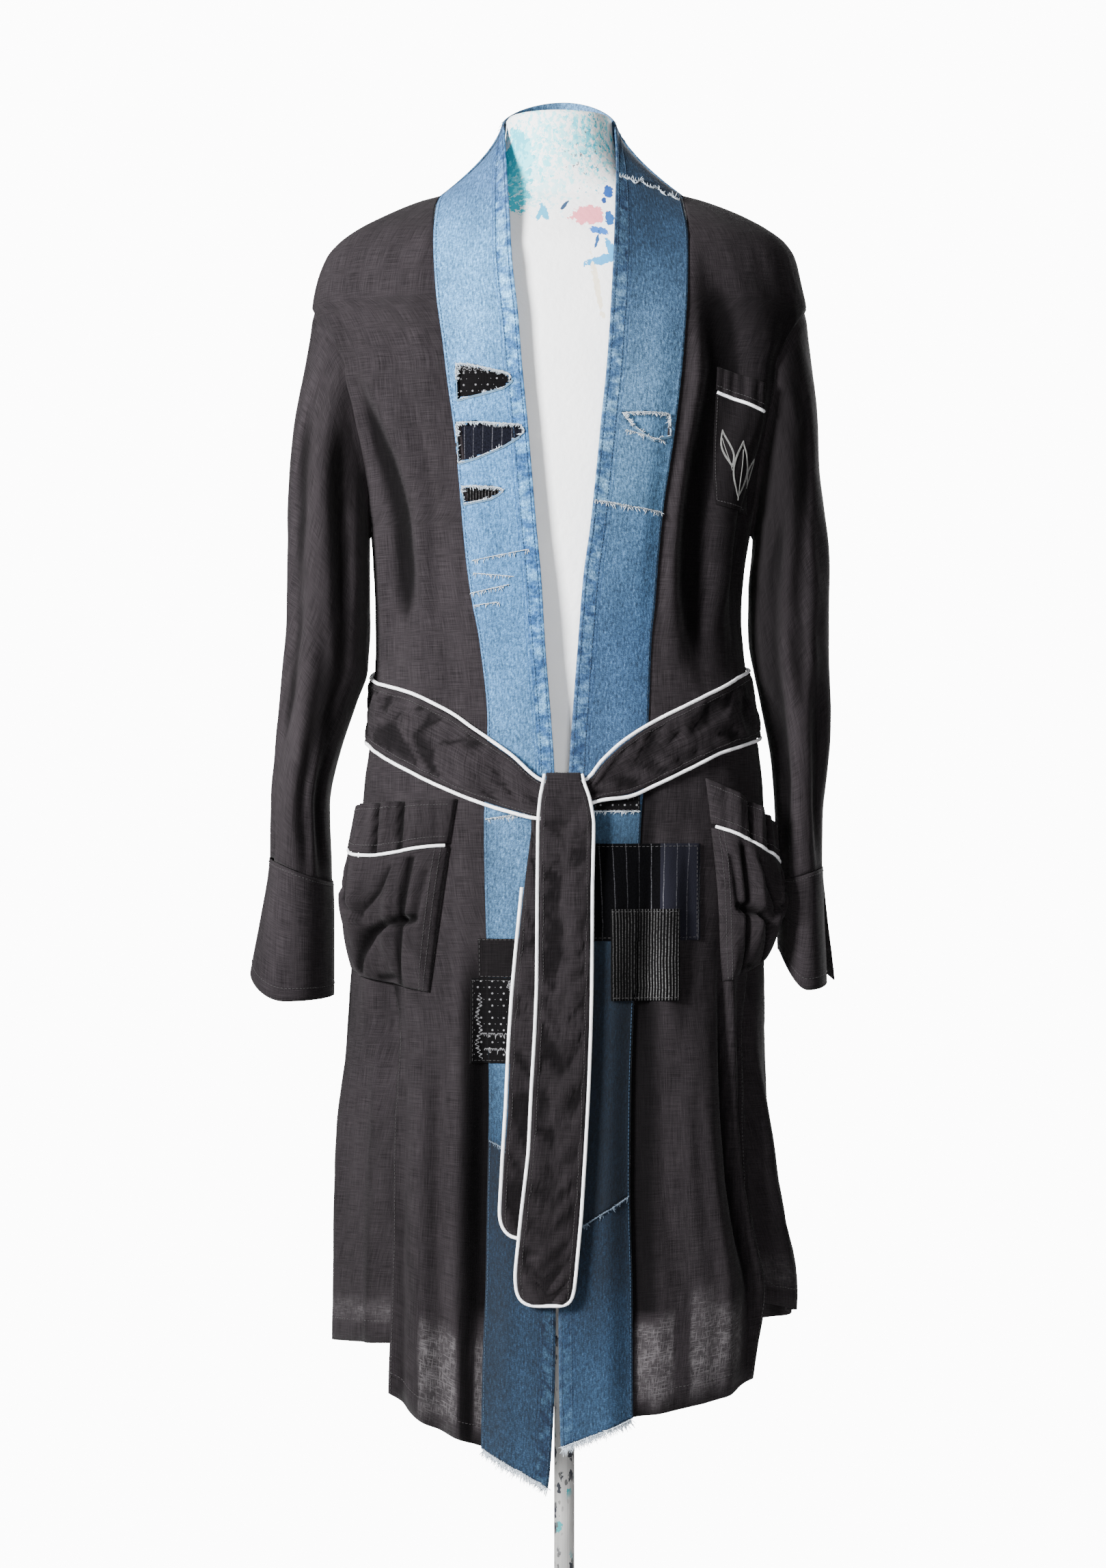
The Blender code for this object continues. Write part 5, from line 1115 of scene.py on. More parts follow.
LOOKS = {
    "linen": BLACK_LINEN, "plain_black": PLAIN_BLACK, "bandana": PRINTED_BLACK,
    "pinstripe": PINSTRIPE, "fine_stripe": FINE_STRIPE, "piping": WHITE_PIPING,
}


def make_active(item):
    bpy.ops.object.select_all(action="DESELECT")
    item.select_set(True)
    bpy.context.view_layer.objects.active = item


def settle(piece, name, material, node=None):
    """Name a piece, give it its finish, and let it stand for its node."""
    piece.name = piece.data.name = name
    piece.data.materials.clear()
    piece.data.materials.append(material)
    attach(piece, "root")
    if node:
        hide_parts(node)


def inside(outline, spot):
    """True where a point lies inside a closed outline, as seen from the front."""
    found = False
    for (x1, z1), (x2, z2) in zip(outline, outline[1:] + outline[:1]):
        if (z1 > spot.z) != (z2 > spot.z) and spot.x < (x2 - x1) * (spot.z - z1) / (z2 - z1) + x1:
            found = not found
    return found


def cloth(name, columns, rows, place, wall=1.0 * MM, material=BLACK_LINEN,
          closed=False, from_edge=None, holes=(), painted_light_and_shade=None):
    """A thin shell through a fine grid of points, with a surface map in metres."""
    bpy.ops.object.select_all(action="DESELECT")
    bpy.ops.mesh.primitive_grid_add(x_subdivisions=columns, y_subdivisions=rows, size=2.0)
    sheet = bpy.context.object
    mesh = sheet.data
    spots = [[place(column / columns, row / rows) for column in range(columns + 1)] for row in range(rows + 1)]
    across = [run_lengths(line) for line in spots]
    down = run_lengths([line[columns // 2] for line in spots])
    cells = [(round((vertex.co.x + 1.0) / 2.0 * columns), round((1.0 - vertex.co.y) / 2.0 * rows))
             for vertex in mesh.vertices]
    surface = mesh.uv_layers[0] if mesh.uv_layers else mesh.uv_layers.new(name="cloth")
    surface.name = "cloth"
    for loop in mesh.loops:
        column, row = cells[loop.vertex_index]
        u, total = across[row][column], across[row][-1]
        if from_edge != "start":
            u = total - u if from_edge else u - total / 2.0
        surface.data[loop.index].uv = (u, down[row])
    # Painted light and shade for the material: one value a point, above 0 painted light, below 0 painted
    # shade.
    if painted_light_and_shade:
        for value, (column, row) in zip(mesh.attributes.new("painted_light_and_shade", "FLOAT", "POINT").data, cells):
            value.value = painted_light_and_shade(column / columns, row / rows)
    for vertex, (column, row) in zip(mesh.vertices, cells):
        vertex.co = spots[row][column]
    mesh.update()
    if closed or holes:
        work = bmesh.new()
        work.from_mesh(mesh)
        if closed:
            bmesh.ops.remove_doubles(work, verts=work.verts, dist=1e-6)
        gone = [face for face in work.faces if any(inside(hole, face.calc_center_median()) for hole in holes)]
        bmesh.ops.delete(work, geom=gone, context="FACES")
        work.to_mesh(mesh)
        work.free()
    mesh.shade_smooth()
    make_active(sheet)
    thicken = sheet.modifiers.new("wall", "SOLIDIFY")
    thicken.thickness = wall
    thicken.offset = 0.0
    bpy.ops.object.modifier_apply(modifier="wall")
    settle(sheet, name + "_cloth", material, name)


def tubes(name, lines, radius, sides=0, tips=1.0, closed=False):
    """Round tubes along lines of points in one mesh, thinner at their ends by tips."""
    data = bpy.data.curves.new(name, "CURVE")
    data.dimensions = "3D"
    data.bevel_depth = radius
    data.bevel_resolution = sides
    data.use_fill_caps = not closed
    for line in lines:
        spline = data.splines.new("POLY")
        spline.points.add(len(line) - 1)
        spline.use_cyclic_u = closed
        for index, (item, point) in enumerate(zip(spline.points, line)):
            item.co = (*point, 1.0)
            item.radius = tips if index in (0, len(line) - 1) else 1.0
    item = bpy.data.objects.new(name, data)
    bpy.context.scene.collection.objects.link(item)
    make_active(item)
    bpy.ops.object.convert(target="MESH")
    bpy.context.object.data.shade_smooth()
    return bpy.context.object


def threads(name, lines, radius, material, tips=1.0):
    settle(tubes(name, lines, radius, tips=tips), name, material)


def cord_piece(name, points, radius, closed=False):
    """Piping: a round cord that stands for its node."""
    settle(tubes(name, [points], radius, 3, closed=closed), name + "_cord", WHITE_PIPING, name)


def surface_spots(place, cells, out):
    """Points just outside a surface with their outward normals, at (across, down) cells."""
    found = []
    for across, down in cells:
        right = place(min(1.0, across + 0.002), down) - place(max(0.0, across - 0.002), down)
        below = place(across, min(1.0, down + 0.002)) - place(across, max(0.0, down - 0.002))
        normal = right.cross(below).normalized()
        point = place(across, down)
        if normal.x * point.x + normal.y * point.y < 0.0:
            normal = -normal
        found.append((point + normal * out, normal))
    return found


def level_cells(start, end, count, down):
    return [(across, down) for across in steps(start, end, count)]


def upright_cells(across, start, end, count):
    return [(across, down) for down in steps(start, end, count)]


def drawn_on(place, cells, out):
    """A line of points just outside a surface."""
    return [point for point, _ in surface_spots(place, cells, out)]


def stitches(spots, pitch=3.0 * MM, length=2.1 * MM, radius=0.3 * MM):
    """A row of stitches along a line of (point, normal) spots."""
    lines = []
    travelled, due = 0.0, 0.0
    for (start, normal), (end, _) in zip(spots, spots[1:]):
        span = (end - start).length
        if span < 1e-9:
            continue
        along = (end - start) / span
        half = along * length / 2.0
        while due <= travelled + span:
            middle = start + along * (due - travelled)
            lines.append([middle - half, middle + normal * radius * 0.9, middle + half])
            due += pitch
        travelled += span
    return lines


def sewn_on(place, cells, out=0.6 * MM, *sizes):
    """A row of stitches on a surface, along its cells."""
    return stitches(surface_spots(place, cells, out), *sizes)


def resampled(points, step):
    """Points at even steps along a line of points."""
    found = [points[0]]
    left = step
    for start, end in zip(points, points[1:]):
        span = (end - start).length
        place = left
        while place <= span:
            found.append(start.lerp(end, place / span))
            place += step
        left = place - span
    return found


def outwards(side, across):
    """Share of the way from the robe's middle outwards; across runs to the viewer's right."""
    return across if side == "left" else 1.0 - across


def replace_form():
    """The form again with more sides and rows, smooth and whole."""
    sections = form_sections()
    curves = column_curves(sections)
    heights = [section[0] for section in sections]
    rows = 150
    bpy.ops.object.select_all(action="DESELECT")
    bpy.ops.mesh.primitive_uv_sphere_add(segments=96, ring_count=rows + 1, radius=1.0)
    body = bpy.context.object
    for vertex in body.data.vertices:
        x, y, z = vertex.co
        ring = round((1.0 - math.acos(max(-1.0, min(1.0, z))) / math.pi) * (rows + 1))
        if ring in (0, rows + 1):
            vertex.co = (NECK_SHIFT, 0.0, FORM_TOP) if ring else (0.0, 0.0, FORM_BOTTOM)
            continue
        height = blend(*between(heights, (ring - 1) / (rows - 1)))
        *ring_sizes, shift = (curve(height) for curve in curves)
        vertex.co = superellipse(*ring_sizes, math.atan2(x, -y), height) + Vector((shift, 0.0, 0.0))
    body.data.shade_smooth()
    painted = even_material("stained_white_form", (0.6, 0.0, 0.3), (0.9, 0.905, 0.91), (0.955,) * 3,
                            (30.0, 30.0, 22.0), 4.0, (160.0,) * 3, 4.0, 0.0006, painted=form_paint)
    settle(body, "form_torso_painted", painted, "form_torso")


def hem_fold(height, hem):
    """The turned-up hem stands a little proud, with a soft ridge where it is sewn."""
    return 0.0006 * (1.0 - ease(height - hem, 0.017, 0.019))


def front_spot(side, across, down):
    """Angle, height, hem height and tuck of a spot of a front that runs on under its band."""
    sign = SIGN[side]
    part = outwards(side, across)
    hem = blend(HEM[side]["seam"], HEM[side]["outer"], part ** 1.3)
    height = hem_height(blend(*between(BODY_ROWS, down)), hem)
    seam = abs(angle_at(lapel_x(side, height), height))
    outer = side_angle(side, height)
    inner = seam + gap_angle(sign * seam, height, seam_gap(height))
    under = gap_angle(sign * seam, height, 0.007) * ease(height, 1.5, 1.47)
    outer -= gap_angle(sign * outer, height, SEAM_GAP * 0.6)
    angle = blend(inner - under, outer, part)
    near = gap_angle(sign * seam, height, 0.0015)
    tuck = -0.0016 * (1.0 - ease(angle, inner - near, inner + 0.3)) if under else 0.0
    return sign * angle, height, hem, tuck


def fine_front(side, across, down):
    angle, height, hem, tuck = front_spot(side, across, down)
    return on_robe(angle, height, tuck + hem_fold(height, hem))


def fine_back(across, down):
    _, _, height, lowest = back_spot(across, down)
    point = back_point(across, down)
    return point + Vector((point.x, point.y, 0.0)).normalized() * hem_fold(height, lowest)


def fine_cuff(side, across, down):
    return cuff_point(side, 1.0 - outwards(side, across), down)


def fold_shade(angle, height):
    """How dark a fold's bottom is."""
    return ease(-fold_relief(angle, height), 0.003, 0.0085)


def front_shade(side, across, down):
    """Painted light above 0 where a front's thin linen lets the light behind through, painted shade below 0 in
    the bottom of its folds and in the shaded places below.
    """
    angle, height, hem, _ = front_spot(side, across, down)
    x = shape_point(angle, height).x
    thin = max(ease(x, low, low + 0.003) * ease(x, high, high - 0.003) * ease(height, top + 0.003, top - 0.003)
               for low, high, top in THIN_ZONES[side])
    thin *= ease(height, hem + 0.017, hem + 0.02)
    # Painted shade: where the wearer's left chest turns from the light, beside the bands low on the skirt, in
    # a column between the thin places on the right, and beside the left band below the belt.
    turned = ease(x, 0.115, 0.15) * ease(height, 1.47, 1.4) * ease(height, 1.05, 1.12) * 0.65
    off = abs(x) - abs(lapel_x(side, height))
    trough = ease(off, 0.03, 0.016) * ease(height, 0.84, 0.77) * ease(height, 0.44, 0.49)
    if side == "right":
        strip = ease(x, -0.0975, -0.0955) * ease(x, -0.087, -0.089) * ease(height, 0.52, 0.47)
    else:
        strip = ease(off, 0.018, 0.008) * ease(height, 0.88, 0.9) * ease(height, 1.0, 0.98) * 0.8
    return thin - max(turned, trough, strip, fold_shade(angle, height)) * (1.0 - thin)


def back_shade(across, down):
    # Painted light just above the back's hem, where its thin linen lets the light behind through, and painted
    # shade in the bottoms of its folds.
    _, _, height, lowest = back_spot(across, down)
    thin = ease(height, lowest + 0.042, lowest + 0.036) * ease(height, lowest + 0.017, lowest + 0.021) * 0.5
    angle = blend(side_angle("left", height), 360.0 - side_angle("right", height), across)
    return thin - 0.7 * fold_shade(angle, height) * (1.0 - thin)


def fine_sleeve(side, across, down):
    station = round((1.0 - outwards(side, across)) * SLEEVE_AROUND)
    return sleeve_point(side, station, blend(*between(SLEEVE_ROWS, down)))


def sleeve_shade(side, across, down):
    """Dark creases of a sleeve, and the left one's inner half turned away from the light."""
    point = fine_sleeve(side, across, down)
    outer, inner, half_depth, middle = (curve(point.z) for curve in SLEEVE_CURVES[side])
    wide = (abs(point.x) - (outer + inner) / 2.0) / ((outer - inner) / 2.0)
    turn = math.degrees(math.atan2((middle - point.y) / half_depth, wide))
    crease = 0.9 * ease(-sleeve_relief(side, turn, point.z), 0.0022, 0.0075) * ease(down, 0.03, 0.12)
    limit = (point.z - 1.2) * 3.0
    away = 0.7 * ease(wide, limit + 0.3, limit - 0.2) * ease(down, 0.03, 0.15) if side == "left" else 0.0
    return -max(crease, away)


def make_body():
    rows = (len(BODY_ROWS) - 1) * 4
    for side in SIDES:
        cloth("front_" + side, 46, rows, partial(fine_front, side), painted_light_and_shade=partial(front_shade, side))
        cloth("sleeve_" + side, SLEEVE_AROUND, (len(SLEEVE_ROWS) - 1) * 7, partial(fine_sleeve, side),
              closed=True, painted_light_and_shade=partial(sleeve_shade, side))
        cloth("cuff_" + side, 84, 26, partial(fine_cuff, side), wall=1.2 * MM)
    cloth("back", 108, rows, fine_back, painted_light_and_shade=back_shade)


def frays(spots, count, low, high, random_of, lifted=0.35):
    """Loose thread ends standing off a line of (point, normal, way) spots."""
    lines = []
    for _ in range(count):
        point, normal, way = random_of.choice(spots)
        length = random_of.uniform(low, high)
        side = Vector((random_of.uniform(-1, 1), random_of.uniform(-0.3, 0.3), random_of.uniform(-1, 1)))
        heading = (way + side * 0.75).normalized()
        bend = Vector((random_of.uniform(-1, 1), 0.0, random_of.uniform(-1, 1))) * length * 0.35
        lift = normal * length * lifted * random_of.uniform(0.1, 1.0)
        lines.append([point, point + heading * length * 0.5 + lift * 0.6 + bend * 0.4,
                      point + heading * length + lift + bend])
    return lines


def ragged(spots, random_of, spread):
    """A thick, broken line of torn threads along a line of (point, normal, way) spots."""
    lines = []
    for index, (start, normal, _) in enumerate(spots[:-3]):
        if (spots[index + 3][0] - start).length > 0.006:
            continue
        for _ in range(2 if random_of.random() < 0.8 else 0):
            offset = Vector((random_of.uniform(-1, 1), 0.0, random_of.uniform(-1, 1))) * spread
            lift = normal * random_of.uniform(0.0002, 0.0012)
            end = spots[index + random_of.choice((2, 3))][0]
            lines.append([start + offset + lift, (start + end) / 2.0 + lift * 1.6 - offset * 0.5,
                          end + lift * 0.6 + offset * 0.3])
    return lines


def traced(outline, step):
    """A rip's outline at even steps, and its middle."""
    points = [Vector((x, 0.0, z)) for x, z in outline]
    return resampled(points + points[:1], step), sum(points, Vector()) / len(points)


def rag(outline, random_of):
    """A rip's outline with an uneven edge."""
    return [(point.x + random_of.uniform(-0.0006, 0.0006), point.z + random_of.uniform(-0.0009, 0.0009))
            for point in traced(outline, 0.003)[0]]


def band_front(x, height, out=1.3 * MM):
    """Point on the outer face of a band below its stand, by X and height, and its normal."""
    angle = angle_at(x, height)
    dip = band_dip("right" if x < 0.0 else "left", angle, height)
    return off_shape(angle, height, out - dip), shape_normal(angle, height)


def rip_threads(outline, random_of):
    """White threads round a rip: a thick torn edge, loops and loose ends."""
    fine, centre = traced(outline, 0.001)
    spots = [(*band_front(point.x, point.z), (centre - point).normalized()) for point in fine]
    upper = [spot for spot, point in zip(spots, fine) if point.z > centre.z]
    lower = [spot for spot, point in zip(spots, fine) if point.z <= centre.z]
    lines = frays(spots, 40, 0.001, 0.0034, random_of, 0.5) + frays(upper, 130, 0.0012, 0.0042, random_of, 0.7)
    for start in range(0, len(lower), 9):
        if random_of.random() < 0.55:
            lines += ragged(lower[start:start + 12], random_of, 0.0009)
    return lines + ragged(upper, random_of, 0.0011) + ragged(upper, random_of, 0.0017)


def worn_slashes(random_of):
    lines = []
    for x_from, x_to, height, tilt, count in SLASHES:
        spots = [(*band_front(blend(x_from, x_to, share), height + tilt * share), DOWN)
                 for share in steps(0.0, 1.0, 45)]
        lines += frays(spots, count, 0.0015, 0.0045, random_of, 0.4) + ragged(spots, random_of, 0.0007)
    return lines


def band_place(side, top, top_rise, bottom, bottom_rise, across, down):
    """A length of band between two joins; across runs from the seam on the right, to it on the left."""
    part = 1.0 - outwards(side, across)
    return band_point(side, blend(top + top_rise * part, bottom + bottom_rise * part, down), part)


def edge_spots(place, cells, out, way=DOWN):
    return [(*spot, way) for spot in surface_spots(place, cells, out)]


def make_bands():
    """The denim bands with their rips, topstitching and frayed joins."""
    random_of = random.Random(7)
    topstitch, loose, dim_loose, rolled = [], [], [], []
    for name, side, *joins in BAND_PIECES:
        place = partial(band_place, side, *joins)
        top, _, bottom, _ = joins
        at_hem = bottom < 0.4
        holes = [rag(outline, random_of) for band, _, outline in RIPS.values() if band == name]
        slot = "denim_dark" if name in ("band_right_hem", "band_left_skirt") else "denim"
        cloth(name, 40 if holes else 20, max(30, round((top - bottom) / 0.0032)), place, wall=1.8 * MM,
              material=DENIM[name], from_edge="end" if side == "right" else "start", holes=holes)
        width = (place(0.0, 0.5) - place(1.0, 0.5)).length
        for off in (0.003, *([0.013] if slot == "denim" else []), width - 0.0022):
            cells = upright_cells(outwards(side, off / width), 0.0, 1.0, 120)
            topstitch += sewn_on(place, cells, 0.001, 0.0034, 0.0024, 0.00032)
        at_join = dim_loose if name in ("band_right_skirt", "band_left_skirt") else loose
        amount = 620 if at_hem else 0 if name == "band_left_waist" else 70
        spots = edge_spots(place, level_cells(0.03, 0.97, 50, 1.0), 0.0008)
        at_join += frays(spots, amount, 0.0015, 0.0075 if at_hem else 0.005, random_of)
        if name == "band_left_waist":
            place = partial(band_place, side, 0.947, 0.0, 0.9455, 0.0)
            spots = edge_spots(place, level_cells(0.03, 0.97, 50, 0.5), 0.0016)
            loose += frays(spots, 60, 0.0015, 0.0045, random_of)
        at_join += ragged(edge_spots(place, level_cells(0.02, 0.98, 110, 1.0), 0.0012), random_of, 0.0012)
    threads("denim_topstitching", topstitch, 0.0003, BLUE_THREAD)
    cloth("band_neck", 80, 30, neck_band_point, wall=1.8 * MM, material=DENIM["band_neck"])
    for across in (0.035, 0.965):
        way = Vector((0.2, 0.0, -1.0))
        spots = edge_spots(neck_band_point, upright_cells(across, 0.0, 1.0, 30), 0.001, way)
        loose += frays(spots, 40, 0.0015, 0.005, random_of)
    for _, _, outline in RIPS.values():
        loose += rip_threads(outline, random_of)
        fine, centre = traced(outline, 0.0012)
        for below in (0.0004, 0.0016):
            rolled.append([band_front(point.x, point.z - below)[0] for point in fine if point.z < centre.z])
    threads("rolled_rip_edges", [line for line in rolled if len(line) > 3], 0.0008, ROLLED_DENIM)
    torn = []
    for step in range(61):
        height = 1.496 + 0.018 * step / 60.0 + 0.005 * noise.noise(Vector((step * 0.13, 0.0, 2.0)))
        torn.append((band_point("left", height, 0.96 - 0.92 * step / 60.0, BAND_OUT + 0.0016),
                     shape_normal(30.0, 1.49), -DOWN))
    loose += ragged(torn, random_of, 0.001) + frays(torn, 60, 0.0015, 0.0045, random_of, 0.5)
    loose += worn_slashes(random_of)
    threads("frayed_threads", loose, 0.00034, FRAY_THREAD, tips=0.4)
    threads("dim_frayed_threads", dim_loose, 0.00034, BLUE_FRAY, tips=0.4)


def patch_place(reach, heights, out, across, down):
    x, height = blend(*reach, across), blend(*heights, down)
    return on_robe(angle_at(x, height), height, out)


def rip_place(reach, heights, out, across, down):
    return band_front(blend(*reach, across), blend(*heights, down), out)[0]


def make_patches():
    """Patches on the bands with their edge stitches, and the cloth behind the rips."""
    first = BAND_OUT + DENIM_WALL / 2.0 + LAYER_GAP + PATCH_WALL / 2.0
    behind = -(DENIM_WALL / 2.0 - BAND_OUT + 2.5 * LAYER_GAP + PATCH_WALL / 2.0)
    sewn, printed = [], []
    for name, reach, heights, layer, look in PATCHES:
        place = partial(patch_place, reach, heights, first + (layer - 1) * (PATCH_WALL + LAYER_GAP))
        cloth(name, 40, 30, place, 0.8 * MM,
              LOOKS[look])
        edge = level_cells(0.03, 0.97, 60, 0.03) + upright_cells(0.97, 0.03, 0.97, 60)
        edge += level_cells(0.97, 0.03, 60, 0.97) + upright_cells(0.03, 0.97, 0.03, 60)
        sewn += sewn_on(place, edge, 0.0005, 0.0042, 0.0024)
        if look == "bandana":
            width = (place(0.0, 0.5) - place(1.0, 0.5)).length
            length = (place(0.5, 0.0) - place(0.5, 1.0)).length
            whole = name == "patch_bandana"
            printed += bandana_print(place, width, length, 11, (0.042, 0.007) if whole else None)
            printed += chain_embroidery(place) if whole else []
    for name, (band, look, outline) in RIPS.items():
        xs, heights = zip(*outline)
        low, high = min(heights) - RIP_PATCH_MARGIN, max(heights) + RIP_PATCH_MARGIN
        left, right = min(xs) - RIP_PATCH_MARGIN * 0.3, max(xs) + RIP_PATCH_MARGIN
        if right < 0.0:
            right = min(right, free_edge["right"](high) - 0.0025)
        place = partial(rip_place, (left, right), (high, low), behind)
        material = {"denim": DENIM["rip_denim_patch"], "pinstripe": DARK_PINSTRIPE}.get(look, LOOKS.get(look))
        cloth(name + "_patch", 20, 16, place, 0.8 * MM, material)
        if look == "bandana":
            printed += bandana_print(place, right - left, high - low, 5)
            for y in (0.0085, 0.0115):
                printed += scroll_border(place, right - left, high - low, y)
    threads("patch_stitches", sewn, 0.00026, DIM_THREAD)
    threads("bandana_print", printed, 0.00025, PRINT_WHITE)


def bandana_print(place, width, length, seed, flower=None):
    """A common bandana print: scattered small flowers and dots, with a fan of curled petals in one corner."""
    random_of = random.Random(seed)

    def drawn(shape, x, y, turn, size):
        c, s = math.cos(turn), math.sin(turn)
        cells = []
        for px, py in shape:
            cell = (x + (c * px - s * py) * size) / width, (y + (s * px + c * py) * size) / length
            cells.append([min(0.97, max(0.03, part)) for part in cell])
        return drawn_on(place, cells, 0.0004)

    petal = [(0.0, 0.0), (0.25, -0.55), (0.0, -1.0), (-0.25, -0.55), (0.0, 0.0)]
    curl = [(0.0, 0.0), (0.5, -0.3), (0.8, -0.9), (0.4, -1.3), (0.05, -1.0), (0.3, -0.75)]
    pitch = 0.0056
    lines = []
    for row, column in itertools.product(range(int(length / pitch)), range(int(width / pitch) + 1)):
        x = 0.003 + column * pitch + (pitch / 2.0 if row % 2 else 0.0)
        y = 0.003 + row * pitch
        if x > width - 0.002 or random_of.random() < 0.12:
            continue
        if (row + column) % 2:
            for spoke in range(3):
                lines.append(drawn([(-1.0, 0.0), (1.0, 0.0)], x, y, spoke * math.pi / 3.0 + 0.3, 0.001))
        else:
            lines.append(drawn([(-0.35, 0.0), (0.35, 0.0)], x, y, random_of.uniform(0, 3), 0.0007))
    if flower:
        x, y = flower
        for spoke in range(7):
            turn = -2.2 + spoke * 0.62
            lines += [drawn(petal, x, y, turn, 0.0075), drawn(curl, x, y + 0.001, turn + 0.3, 0.006),
                      drawn(curl, x, y + 0.001, turn - 0.1, 0.0045)]
    return lines


def scroll_border(place, width, length, y):
    """A row of curled waves with dots, along the top of the cloth in a rip."""
    lines = []
    for index in range(int(width / 0.0052)):
        cells = []
        for step in range(12):
            turn = step * 0.62
            reach = 0.0023 * (1.0 - step / 14.0)
            x = 0.004 + index * 0.0052 + reach * math.cos(turn) * (1.0 if index % 2 else -1.0)
            cells.append((min(0.97, x / width), (y - reach * math.sin(turn)) / length))
        lines.append(drawn_on(place, cells, 0.0004))
    return lines


def chain_embroidery(place):
    """Two rows of looped hand embroidery low on a patch, and a wavering row up its outer side."""
    rows = []
    for down, start, end in ((0.66, 0.16, 0.97), (0.84, 0.22, 0.97)):
        cells = []
        for step in range(160):
            loop = 0.012 * math.sin(step * 0.9) + 0.05 * math.sin(max(0, step % 32 - 22) * 0.35) ** 2
            cells.append((blend(start, end, step / 160.0) + 0.008 * math.cos(step * 0.9), down + loop))
        rows.append(cells)
    rows.append([(0.13 + 0.03 * (math.sin(step * 0.8) + math.sin(step * 0.11)), 0.18 + 0.006 * step)
                 for step in range(130)])
    return [drawn_on(place, cells, 0.0007) for cells in rows]


def curve_crease(part, down):
    total = 0.0
    for points, half, depth in POCKET_CURVES:
        nearest = half
        for (x, y), (next_x, next_y) in zip(points, points[1:]):
            run_x, run_y = next_x - x, next_y - y
            along = min(1.0, max(0.0, ((part - x) * run_x + (down - y) * run_y) / (run_x ** 2 + run_y ** 2)))
            nearest = min(nearest, math.hypot(part - x - run_x * along, down - y - run_y * along))
        total += depth * crest(nearest / half)
    return total


def pocket_gather(part, down):
    return sum(depth * crest((part - middle + 0.05 * down) / half) for middle, half, depth in POCKET_GATHERS)


def pocket_crease(part, down):
    total = 0.0
    for middle, half, start, end, depth, slant in POCKET_CREASES:
        if start < down < end:
            fade = math.sin(math.pi * (down - start) / (end - start)) ** 0.7
            total += depth * crest((part - middle - slant * down) / half) * fade
    return (total + curve_crease(part, down)) * hump(part) ** 0.5


def pocket_shade(creases, side, across, down):
    """Dark creases of a hip pocket."""
    return -0.97 * ease(-creases(outwards(side, across), down), 0.0008, 0.0055)


def hip_point(side, part, upper, lower, down, out, sag, rise=0.0):
    """Point of a hip pocket between two slanted lines, sagging in its middle."""
    data = HIP_POCKET[side]
    angle, height = pocket_spot(data, part, upper, lower, down)
    point = on_robe(SIGN[side] * angle, height, LINEN_WALL + 2.5 * LAYER_GAP + out)
    point.z += rise - data["dip"] * math.sin(math.pi * part) ** 2 * sag
    return point


def hip_bag(side, across, down):
    part = outwards(side, across)
    swell = HIP_POCKET[side]["bulge"] * hump(part) * hump(0.28 + 0.72 * down)
    swell += pocket_crease(part, down) * hump(0.1 + 0.9 * down)
    return hip_point(side, part, "piping", "bottom", down, max(0.0, swell), 1.0 - down)


def hip_band(side, across, down):
    """The gathered top band of a hip pocket."""
    part = outwards(side, across)
    open_out = blend(HIP_POCKET[side]["mouth"], HIP_POCKET[side]["bulge"] * hump(0.28), down)
    open_out += 0.0016 * math.sin(5.0 * math.pi * part) * (1.0 - 0.4 * down)
    open_out = max(0.0008, open_out + pocket_gather(part, down) * (1.0 - 0.5 * down))
    return hip_point(side, part, "top", "piping", down, open_out * hump(part), down, PIPING_SLOT * down)


def chest_point(across, upper, lower, down, swell):
    x, height = pocket_spot(CHEST_POCKET, across, upper, lower, down)
    return on_robe(angle_at(x, height), height, LINEN_WALL + 4.0 * LAYER_GAP + swell)


def chest_bag(across, down):
    return chest_point(across, "piping", "bottom", down, 0.0022 * hump(across) * hump(0.3 + 0.7 * down))


def chest_band(across, down):
    swell = 0.003 * hump(across) + 0.0006 * math.sin(9.0 * math.pi * across)
    point = chest_point(across, "top", "piping", down, swell)
    point.z += PIPING_SLOT * down
    return point


def pocket_piping(name, band, bag, columns):
    """Piping in the slot between a pocket's bag and its top band."""
    line = []
    for share in steps(0.0, 1.0, columns):
        across = min(0.98, max(0.02, share))
        line.append((band(across, 1.0) + bag(across, 0.0)) / 2.0 + Vector((0.0, -0.0005, 0.0)))
    cord_piece(name, line, POCKET_PIPING_RADIUS)


